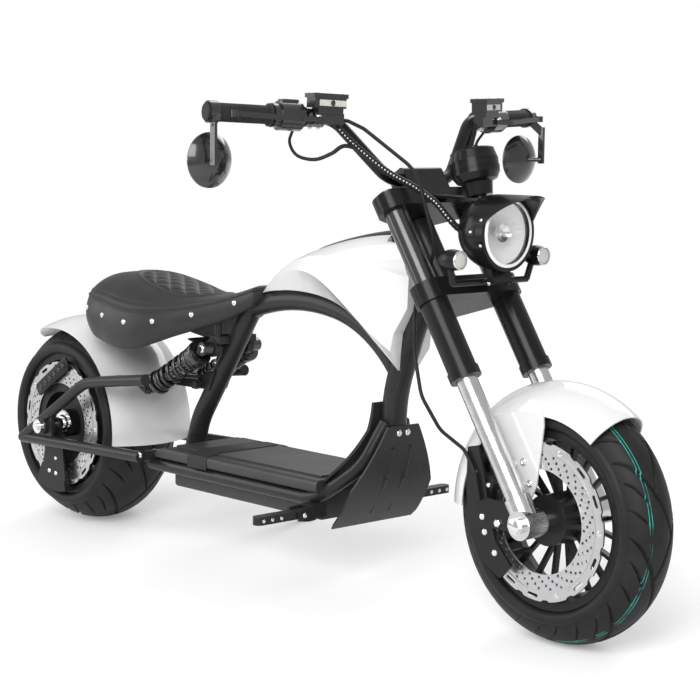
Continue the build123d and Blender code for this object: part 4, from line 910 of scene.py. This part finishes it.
class SCOOTER_OT_headlight(bpy.types.Operator):
    """Makes the headlight's reflector, bulb shield, bezel and side screws"""
    bl_idname = "scooter.headlight"
    bl_label = "Headlight"

    def execute(self, context):
        # The bowl and the bezel below take the reflector finish, whose near-white base colour is a painted
        # reflection.
        bowl = reflector(LAMP_CENTRE + (-7.0, 0, 0), 57.0, 25.0, 40)
        piece("headlight_reflector", [bowl], "steering", "reflector", sharp=20.0)
        shield = [(-31, 6), (-16, 17), (-11, 19.5), (-9.5, 19.5), (-9.5, 17.5), (-12, 15.5), (-20, 4)]
        bulb = [(-30, 0), (-30, 5.5), (-20, 7), (-14, 6), (-12.5, 3), (-12, 0)]
        parts = [lathe(shield, LAMP_CENTRE, FORWARD, 40), lathe(bulb, LAMP_CENTRE, FORWARD, 24)]
        bright_piece("headlight_shield", parts, "steering")
        bezel = [(3.6, 57.6), (3.6, 63.0), (5.0, 62.8), (6.6, 60.4), (7.0, 58.4), (6.0, 56.6), (3.6, 57.6)]
        ring = lathe(bezel, LAMP_CENTRE, FORWARD, 72)
        piece("headlight_bezel", [ring], "steering", "reflector")
        screws = [bolt(place, direction, 3.4, 2.2, 14) for place, direction in LAMP_SCREWS]
        bright_piece("headlight_screws", mirrored(screws), "steering")
        pad = slab((545.0, -69.9, 730.0), (0, -1, 0), FORWARD, 3.0, 15.0, 15.0, 1.5, 0.5)
        piece("headlight_pads", mirrored([pad]), "steering", "satin_black")
        return {"FINISHED"}


class SCOOTER_OT_indicators(bpy.types.Operator):
    """Makes the indicators' lenses and their bright rims"""
    bl_idname = "scooter.indicators"
    bl_label = "Indicators"

    def execute(self, context):
        lens = [(-1.0, 0), (-1.0, 14.6), (0.6, 14.4), (2.6, 11.0), (3.8, 6.0), (4.2, 0)]
        rim = [(-1.0, 14.8), (-1.0, 17.4), (0.8, 17.4), (2.0, 16.4), (2.0, 15.0), (-1.0, 14.8)]
        lenses = mirrored([lathe(lens, INDICATOR_CENTRE, FORWARD, 32)])
        piece("indicator_lenses", lenses, "steering", "lens_pale")
        bright_piece("indicator_rims", mirrored([lathe(rim, INDICATOR_CENTRE, FORWARD, 40)]), "steering")
        return {"FINISHED"}


CUP_RIBS = [46.0, 49.5, 62.0]
SCALE_MARKS, SCALE_START, SCALE_STEP = 21, -130, 13


class SCOOTER_OT_speedometer(bpy.types.Operator):
    """Makes the speedometer's bezel, ribs, dark glass, scale and needle"""
    bl_idname = "scooter.speedometer"
    bl_label = "Speedometer"

    def execute(self, context):
        bezel = [(81.0, 35.0), (81.0, 40.6), (83.0, 41.4), (85.2, 39.6), (85.2, 36.4), (83.4, 35.0)]
        parts = [lathe(bezel, CUP_PLACE, CUP_AXIS, 64)]
        for level in CUP_RIBS:
            rib = [(level, 44), (level + 0.5, 45.9), (level + 1.7, 45.9), (level + 2.2, 44)]
            parts.append(lathe(rib, CUP_PLACE, CUP_AXIS, 64))
        piece("speedometer_bezel", parts, "steering", "satin_black")
        glass = [(81.5, 0), (81.5, 35.2), (83.2, 35.2), (83.8, 20.0), (84.0, 0)]
        pane = lathe(glass, CUP_PLACE, CUP_AXIS, 48)
        piece("speedometer_glass", [pane], "steering", "dial_glass")
        aside = np.array([0.0, 1.0, 0.0])
        ahead = np.cross(CUP_AXIS, aside)
        marks = []
        for index in range(SCALE_MARKS):
            angle = math.radians(SCALE_START + SCALE_STEP * index)
            out = math.sin(angle) * aside - math.cos(angle) * ahead
            long = 5.0 if index % 4 == 0 else 2.8
            place = CUP_PLACE + DIAL_HEIGHT * CUP_AXIS + (32.5 - long / 2) * out
            marks.append(slab(place, CUP_AXIS, out, 0.5, long, 0.8, 0.2, 0.1))
        pointing = unit(aside + 0.6 * ahead)
        needle = CUP_PLACE + (DIAL_HEIGHT + 0.3) * CUP_AXIS + 8.0 * pointing
        marks.append(slab(needle, CUP_AXIS, pointing, 0.5, 24.0, 1.4, 0.4, 0.1))
        piece("speedometer_scale", marks, "steering", "scale_white")
        return {"FINISHED"}


# Bars

BAR_BEND = np.array([297.0, 181.0, 930.0])
BAR_END = np.array([235.0, 425.0, 939.0])
GRIP_LINE = unit(BAR_END - BAR_BEND)


def on_grip(y, ahead=0.0, above=0.0):
    """A point on the bar's left end run, or ahead of it and above it."""
    share = (y - BAR_BEND[1]) / (BAR_END[1] - BAR_BEND[1])
    return BAR_BEND + (BAR_END - BAR_BEND) * share + (ahead, 0.0, above)


GRIP_START, GRIP_END, GRIP_RIBS = 306.0, 431.5, 30


class SCOOTER_OT_grips(bpy.types.Operator):
    """Makes the ribbed grips"""
    bl_idname = "scooter.grips"
    bl_label = "Grips"

    def execute(self, context):
        length = (GRIP_END - GRIP_START) / GRIP_LINE[1]
        profile = [(0, 12.2), (0, 20.0), (1, 21.0), (5, 21.0), (6.5, 19.0), (7.5, 16.2)]
        run = (length - 22.0) / GRIP_RIBS
        for index in range(GRIP_RIBS):
            start = 9.0 + index * run
            end = start + run - 0.8
            profile += [(start, 16.3), (start + 0.5, 17.0), (end - 0.5, 17.0), (end, 16.3)]
        profile += [(length - 12, 16.2), (length - 10, 17.0), (length - 2, 17.0), (length, 15.0), (length, 0)]
        grip = lathe(profile, on_grip(GRIP_START), GRIP_LINE, 40)
        piece("ribbed_grips", mirrored([grip]), "steering", "grip_rubber", ("grips",), 40.0)
        return {"FINISHED"}


RESERVOIR_SCREWS = [(190.0, 14.0), (190.0, 38.0), (238.0, 14.0), (238.0, 38.0)]
SWITCH_KEYS = [
    # place along the bar, turn round it in degrees, length, width, height
    (262.0, 205.0, 12.0, 9.0, 5.0),
    (277.0, 205.0, 9.0, 9.0, 5.0),
    (268.0, 160.0, 14.0, 7.0, 4.5),
    (284.0, 160.0, 6.0, 8.0, 5.0),
]


class SCOOTER_OT_controls(bpy.types.Operator):
    """Makes lid screws, sight glasses, lever pivots, clamp bolts and switch keys"""
    bl_idname = "scooter.controls"
    bl_label = "Controls"

    def execute(self, context):
        screws = [bolt(on_grip(y, ahead, 43.0), (0, 0, 1), 2.6, 1.6, 14) for y, ahead in RESERVOIR_SCREWS]
        screws.append(bolt(on_grip(240.0, 40.0, 1.0), (0, 0, 1), 6.0, 4.0))
        screws.append(bolt(on_grip(214.0, 2.0, -18.5), (0, 0, -1), 3.6, 3.0))
        screws.append(bolt(on_grip(230.0, 2.0, -18.5), (0, 0, -1), 3.6, 3.0))
        bright_piece("control_screws", mirrored(screws), "steering")
        profile = [(-0.4, 0), (-0.4, 5.4), (0.8, 5.4), (1.4, 4.0), (1.6, 0)]
        window = lathe(profile, on_grip(214.0, 44.0, 26.0), FORWARD, 28)
        piece("reservoir_windows", mirrored([window]), "steering", "gloss_black")
        body = slab(on_grip(214.0, 26.0, 26.0), GRIP_LINE, FORWARD, 56.0, 36.0, 13.0, 2.0, 0.8)
        piece("reservoir_bodies", mirrored([body]), "steering", "lens_pale")
        keys = []
        rearward = unit(np.cross(GRIP_LINE, (0, 0, 1.0)))
        for y, turn, length, width, height in SWITCH_KEYS:
            angle = math.radians(turn)
            out = math.cos(angle) * rearward + math.sin(angle) * np.array([0, 0, 1.0])
            keys.append(slab(on_grip(y) + 27.5 * out, out, GRIP_LINE, height, length, width, 1.6, 0.8))
        piece("switch_keys", mirrored(keys), "steering", "grip_rubber")
        return {"FINISHED"}


HARNESS = [
    (303, -186, 928), (311, -181, 913), (322, -163, 891), (337, -138, 866), (363, -101, 832),
    (402, -72, 806), (438, -55, 780), (464, -46, 752), (482, -34, 731), (498, -20, 722),
]
SWITCH_LOOP = [
    (272, -256, 912), (254, -250, 886), (264, -240, 862), (290, -220, 855),
    (312, -199, 866), (322, -178, 880), (332, -150, 876),
]


SLEEVE_RADIUS, SLEEVE_PITCH = 6.4, 7.0


def wound_sleeve(points, radius, pitch):
    """A sleeve of wound strip round a curve: its radius rises and falls along a screw line."""
    path = spline(points, 520)
    wave = np.abs(np.sin(math.pi * distance_along(path)[:, None] / pitch + turns(16)[None] / 2)) ** 0.5
    around = radius - 1.3 + 1.3 * wave
    around[[0, -1]] *= 0.2
    return grid(rings(path, around, 16), close_columns=True)


def painted_glints(points, radius, pitch):
    """Painted glints: pale marks in a row along a sleeve, one to each turn of its strip, on the side turned
    towards the light.
    """
    path = spline(points, 520)
    run = distance_along(path)
    glint = [(-0.8, 0), (-0.8, 1.7), (0.2, 1.5), (0.6, 0.8), (0.7, 0)]
    # Painted glints: every mark sits on the side of the sleeve turned forwards, to the right and a little up,
    # towards the key lamp.
    aside = np.array((0.45, -0.65, 0.15))
    glints = []
    for place in np.arange(3 * pitch, run[-1] - 6 * pitch, pitch):
        index = int(np.searchsorted(run, place))
        along = unit(path[index + 1] - path[index - 1])
        out = unit(aside - along * (aside @ along))
        glints.append(lathe(glint, path[index] + (radius - 0.4) * out, out, 8))
    return glints


class SCOOTER_OT_harness(bpy.types.Operator):
    """Makes the wound harness from both switches into the headlight, and a loose loop beside it"""
    bl_idname = "scooter.harness"
    bl_label = "Harness"

    def execute(self, context):
        sleeve = wound_sleeve(HARNESS, SLEEVE_RADIUS, SLEEVE_PITCH)
        path = spline(SWITCH_LOOP, 70)
        loop = tube(path, np.linspace(2.6, 4.2, len(path)), 12)
        piece("harness", mirrored([sleeve]), "steering", "hose_black", sharp=60.0)
        # Pale marks along the harness: painted glints on its lit side.
        glints = mirrored(painted_glints(HARNESS, SLEEVE_RADIUS, SLEEVE_PITCH))
        piece("harness_painted_glints", glints, "steering", "scale_white")
        piece("switch_loops", mirrored([loop]), "steering", "hose_black")
        return {"FINISHED"}


# Bolts

BOLTS = [
    # body, place, direction, head radius, head height, mirrored
    ("frame", (309.3, -11.5, 328.0), (1, 0, -0.08), 6.5, 4.0, True),
    ("frame", (-355.0, -139.8, 209.0), (0, -1, 0), 7.0, 4.5, True),
    ("frame", (197.0, -154.0, 167.0), (1, 0, 0), 5.0, 3.2, True),
    ("steering", (550.0, -25.3, 636.4), (0, -1, 0), 4.6, 3.2, True),
    ("steering", (612.0, -82.3, 280.0), (0, -1, 0), 5.2, 3.4, False),
    ("steering", (604.0, -88.2, 222.0), (0, -1, 0), 6.4, 4.2, False),
    ("steering", (611.0, -88.2, 195.0), (0, -1, 0), 6.4, 4.2, False),
    ("steering", (636.0, -88.2, 161.0), (0, -1, 0), 6.4, 4.2, False),
    ("steering", (584.0, -88.2, 300.0), (0, -1, 0), 5.2, 3.4, False),
    ("steering", (681.0, -67.6, 330.0), (0, -1, 0), 7.0, 4.2, True),
    ("steering", (697.0, -67.6, 293.0), (0, -1, 0), 7.0, 4.2, True),
    ("frame", (-712.5, -115.1, 150.0), (0, -1, 0), 5.0, 3.2, False),
    ("frame", (-738.0, -115.1, 118.0), (0, -1, 0), 5.6, 3.6, False),
    ("frame", (-712.0, -115.1, 115.0), (0, -1, 0), 5.6, 3.6, False),
]
NUTS = [
    # body, place, direction, radius across corners, height, mirrored
    ("steering", (720.0, -130.2, 228.0), (0, -1, 0), 14.0, 6.5, True),
    ("frame", (-720.0, -152.0, 228.0), (0, -1, 0), 14.0, 6.5, True),
    ("steering", (642.0, -88.2, 216.0), (0, -1, 0), 7.5, 5.0, False),
]
PEG_BOLTS = [205.0, 228.0, 250.0]


class SCOOTER_OT_fasteners(bpy.types.Operator):
    """Makes the bolts and nuts of the frame, the fork, the brakes and the pegs"""
    bl_idname = "scooter.fasteners"
    bl_label = "Bolts and nuts"

    def execute(self, context):
        parts = {"frame": [], "steering": []}
        for make, table in ((bolt, BOLTS), (hex_nut, NUTS)):
            for body, place, direction, radius, height, twice in table:
                made = [make(place, direction, radius, height)]
                parts[body] += mirrored(made) if twice else made
        for y in PEG_BOLTS:
            for x, way in ((188.0, 1), (164.0, -1)):
                parts["frame"] += mirrored([bolt((x, -y, 167.0), (way, 0, 0), 3.8, 1.8, 14)])
        for body, made in parts.items():
            bright_piece(f"{body}_fasteners", made, body)
        return {"FINISHED"}


# Rear brake plate and hub

PLATE_LINE = ((-792.0, 303.0), (-692.0, 369.0))
PLATE_BOLTS = [0.06, 0.24, 0.42, 0.60, 0.78, 0.94]


class SCOOTER_OT_hub(bpy.types.Operator):
    """Makes the plate across the rear disc with its bolts, and the motor covers' screws and rings"""
    bl_idname = "scooter.hub"
    bl_label = "Rear hub"

    def execute(self, context):
        (x0, z0), (x1, z1) = PLATE_LINE
        along = np.array([x1 - x0, 0.0, z1 - z0])
        middle = np.array([(x0 + x1) / 2, -103.0, (z0 + z1) / 2])
        plate = slab(middle, (0, -1, 0), along, 5.0, float(np.linalg.norm(along)) + 26.0, 30.0, 8.0, 0.8)
        piece("brake_plate", [plate], "frame", "satin_black")
        heads = [bolt((x0 + share * along[0], -105.4, z0 + share * along[2]), (0, -1, 0), 5.4, 3.2)
                 for share in PLATE_BOLTS]
        piece("brake_plate_bolts", heads, "frame", "gloss_black")
        hub = 1000 * REAR_AXLE
        screws = [bolt(hub + round_point(angle, 78.0, 66.0), (0, 1, 0), 4.0, 2.6, 14) for angle in turns(10)]
        bright_piece("motor_screws", screws, "rear_wheel")
        ring = [(87.6, 20.0), (87.6, 31.6), (89.4, 31.0), (89.8, 22.0), (89.4, 20.0), (87.6, 20.0)]
        bright_piece("hub_rings", mirrored([lathe(ring, hub, (0, -1, 0), 48)]), "rear_wheel")
        return {"FINISHED"}


# Deck strap, and the tank strip: a black strip put where the tank's top shows a dark reflection, a painted
# reflection

class SCOOTER_OT_strap(bpy.types.Operator):
    """Makes the strap across the deck's cover"""
    bl_idname = "scooter.strap"
    bl_label = "Deck strap"

    def execute(self, context):
        half, top = 114.0, 228.0
        outline = [
            (-half - 1.4, 200.0), (-half - 1.4, top - 10), (-half + 1.6, top - 1.6), (-half + 10, top + 1.4),
            (-86.0, top + 1.6), (-82.0, top + 5.4),
        ]
        outline = np.array(outline + [(-y, z) for y, z in reversed(outline)])
        outward = np.array([[0.7 * math.copysign(1, y) if abs(y) > 110 else 0, 1] for y, z in outline])
        rows = []
        for x, rise in ((-222.0, -0.8), (-221.4, 0.4), (-158.6, 0.4), (-158.0, -0.8)):
            rows.append(np.column_stack([np.full(len(outline), x), outline + rise * outward]))
        piece("deck_strap", [grid(np.array(rows))], "frame", "grip_rubber", sharp=50.0)
        return {"FINISHED"}


STRIP_START, STRIP_END = 60.0, 345.0


class SCOOTER_OT_strip(bpy.types.Operator):
    """Makes the black strip along the tank's ridge, put where the tank's top shows a dark reflection: a
    painted reflection
    """
    bl_idname = "scooter.strip"
    bl_label = "Tank strip"

    def execute(self, context):
        tank = NODES["tank"]
        back = tank.matrix_world.inverted()
        down = (back.to_3x3() @ Vector(facing([0.0, 0.0, -1.0]))).normalized()
        rows = []
        for share in np.linspace(0, 1, 60):
            x = STRIP_START + (STRIP_END - STRIP_START) * share
            taper = math.sqrt(max(0.0, min(1.0, share / 0.06, (1 - share) / 0.05)) + 0.01)
            half = (9 + 23 * share) * taper
            row = []
            for side in np.linspace(-1, 1, 9):
                start = standing(np.array([x, side * half, 900.0]) * MM)
                hit, place, _, _ = tank.ray_cast(back @ Vector(start), down)
                if not hit:
                    raise RuntimeError("the strip's ray misses the tank")
                upright = (np.array(tank.matrix_world @ place) - SHIFT) @ TURN / MM
                row.append(upright + (0, 0, 3.0 - 3.4 * abs(side) ** 4))
            rows.append(row)
        # A black strip in place of the dark reflection along the tank's top: painted reflection.
        piece("tank_dark_reflection_strip", [grid(np.array(rows))], "frame", "satin_black", sharp=50.0)
        return {"FINISHED"}


LAMPS = [
    # name, place, point it looks at, power
    ("key", (2.4, -3.2, 3.4), (0.0, 0.0, 0.4), 150.0),
    ("fill", (-3.0, -2.6, 2.2), (0.0, 0.0, 0.4), 60.0),
    ("back", (-1.0, 3.4, 3.2), (0.0, 0.0, 0.5), 80.0),
]
LAMP_WIDTH, FLOOR_HALF = 3.0, 14.0
FOCAL_PIXELS, FRAME_PIXELS, SENSOR_MM = 1852.69, 700.0, 36.0


def area_light(name, place, aim, power):
    """A square lamp that looks at a point."""
    lamp = bpy.data.lights.new(name, "AREA")
    lamp.size = LAMP_WIDTH
    lamp.energy = power
    holder = bpy.data.objects.new(name, lamp)
    holder.location = place
    holder.rotation_euler = (Vector(aim) - Vector(place)).to_track_quat("-Z", "Y").to_euler()
    bpy.context.scene.collection.objects.link(holder)


def camera_basis():
    """Right, up and backward directions of the camera, and its place, for the leaned machine."""
    yaw, pitch, roll = math.radians(46.991), math.radians(6.731), math.radians(0.670)
    ahead = np.array([-math.sin(yaw) * math.cos(pitch), math.cos(yaw) * math.cos(pitch), -math.sin(pitch)])
    right = np.array([math.cos(yaw), math.sin(yaw), 0.0])
    up = np.cross(right, ahead)
    level = math.cos(roll) * right + math.sin(roll) * up
    upward = np.cross(level, ahead)
    place = standing([2.833, -2.498, 0.907])
    return facing(level), facing(upward), facing(-ahead), place


def daylight():
    """A plain pale world that is white to the camera."""
    world = bpy.data.worlds.new("daylight")
    bpy.context.scene.world = world
    world.use_nodes = True
    nodes, links = world.node_tree.nodes, world.node_tree.links
    soft = nodes["Background"]
    soft.inputs["Color"].default_value = (1.0, 1.0, 1.0, 1.0)
    soft.inputs["Strength"].default_value = 0.55
    white = put(world, "Background", {"Color": (1.0, 1.0, 1.0, 1.0), "Strength": 1.0})
    ray = put(world, "LightPath").outputs["Is Camera Ray"]
    sources = {"Fac": ray, 1: soft.outputs["Background"], 2: white.outputs["Background"]}
    mix = put(world, "MixShader", links=sources)
    links.new(mix.outputs["Shader"], nodes["World Output"].inputs["Surface"])


def pale_floor(colour):
    """A pale floor that keeps its shadows and fades to plain white away from the machine."""
    material, surface = shader("floor", colour, 0.8, specular=0.2)
    tint(material, noise(material, 3.0, 2.0), colour, tuple(v * 0.99 for v in colour), surface)
    place = put(material, "TexCoord").outputs["Object"]
    away = put(material, "VectorMath", links={0: place}, operation="LENGTH").outputs["Value"]
    fade = put(material, "MapRange", {"From Min": 1.1, "From Max": 2.6}, {"Value": away},
               interpolation_type="SMOOTHSTEP").outputs["Result"]
    lit = surface.outputs["BSDF"]
    glow = put(material, "Emission", {"Strength": 0.22}).outputs["Emission"]
    white = put(material, "Emission", {"Strength": 1.0}).outputs["Emission"]
    near = put(material, "AddShader", links={0: lit, 1: glow}).outputs["Shader"]
    seen = put(material, "MixShader", links={"Fac": fade, 1: near, 2: white}).outputs["Shader"]
    ray = put(material, "LightPath").outputs["Is Camera Ray"]
    final = put(material, "MixShader", links={"Fac": ray, 1: lit, 2: seen}).outputs["Shader"]
    tree = material.node_tree
    tree.links.new(final, tree.nodes["Material Output"].inputs["Surface"])
    return material


class SCOOTER_OT_stage(bpy.types.Operator):
    """Makes the floor, the lamps and the camera"""
    bl_idname = "scooter.stage"
    bl_label = "Floor, light and camera"

    def execute(self, context):
        colours = context.scene.scooter_colours
        mesh = bpy.data.meshes.new("floor")
        corners = [(x * FLOOR_HALF, y * FLOOR_HALF, 0) for x, y in ((-1, -1), (1, -1), (1, 1), (-1, 1))]
        mesh.from_pydata(corners, [], [(0, 1, 2, 3)])
        floor = bpy.data.objects.new("floor", mesh)
        context.scene.collection.objects.link(floor)
        mesh.materials.append(pale_floor(tuple(colours.floor)))
        daylight()
        for lamp in LAMPS:
            area_light(*lamp)
        lens = bpy.data.cameras.new("camera")
        lens.sensor_fit = "HORIZONTAL"
        lens.sensor_width = SENSOR_MM
        lens.lens = FOCAL_PIXELS / FRAME_PIXELS * SENSOR_MM
        lens.clip_end = 60.0
        camera = bpy.data.objects.new("camera", lens)
        right, up, back, place = camera_basis()
        rows = [[right[i], up[i], back[i], place[i]] for i in range(3)]
        camera.matrix_world = Matrix(rows + [[0, 0, 0, 1]])
        context.scene.collection.objects.link(camera)
        context.scene.camera = camera
        context.scene.view_settings.view_transform = "Standard"
        return {"FINISHED"}


class SCOOTER_PT_pieces(bpy.types.Panel):
    """Shows the colours and makes the pieces"""
    bl_idname = "SCOOTER_PT_pieces"
    bl_label = "Chopper scooter"
    bl_space_type = "VIEW_3D"
    bl_region_type = "UI"
    bl_category = "Scooter"

    def draw(self, context):
        colours = context.scene.scooter_colours
        for name in ("frame", "black", "floor"):
            self.layout.prop(colours, name)
        for operator in OPERATORS:
            self.layout.operator(operator.bl_idname)


OPERATORS = [
    SCOOTER_OT_finishes,
    SCOOTER_OT_tyres,
    SCOOTER_OT_discs,
    SCOOTER_OT_saddle,
    SCOOTER_OT_springs,
    SCOOTER_OT_headlight,
    SCOOTER_OT_indicators,
    SCOOTER_OT_speedometer,
    SCOOTER_OT_grips,
    SCOOTER_OT_controls,
    SCOOTER_OT_harness,
    SCOOTER_OT_fasteners,
    SCOOTER_OT_hub,
    SCOOTER_OT_strap,
    SCOOTER_OT_strip,
    SCOOTER_OT_stage,
]
CLASSES = [ScooterColours, *OPERATORS, SCOOTER_PT_pieces]


def register():
    for item in CLASSES:
        bpy.utils.register_class(item)
    bpy.types.Scene.scooter_colours = PointerProperty(type=ScooterColours)


def unregister():
    del bpy.types.Scene.scooter_colours
    for item in reversed(CLASSES):
        bpy.utils.unregister_class(item)


def main():
    register()
    for operator in OPERATORS:
        group, name = operator.bl_idname.split(".")
        getattr(getattr(bpy.ops, group), name)()


if __name__ == "__main__":
    main()
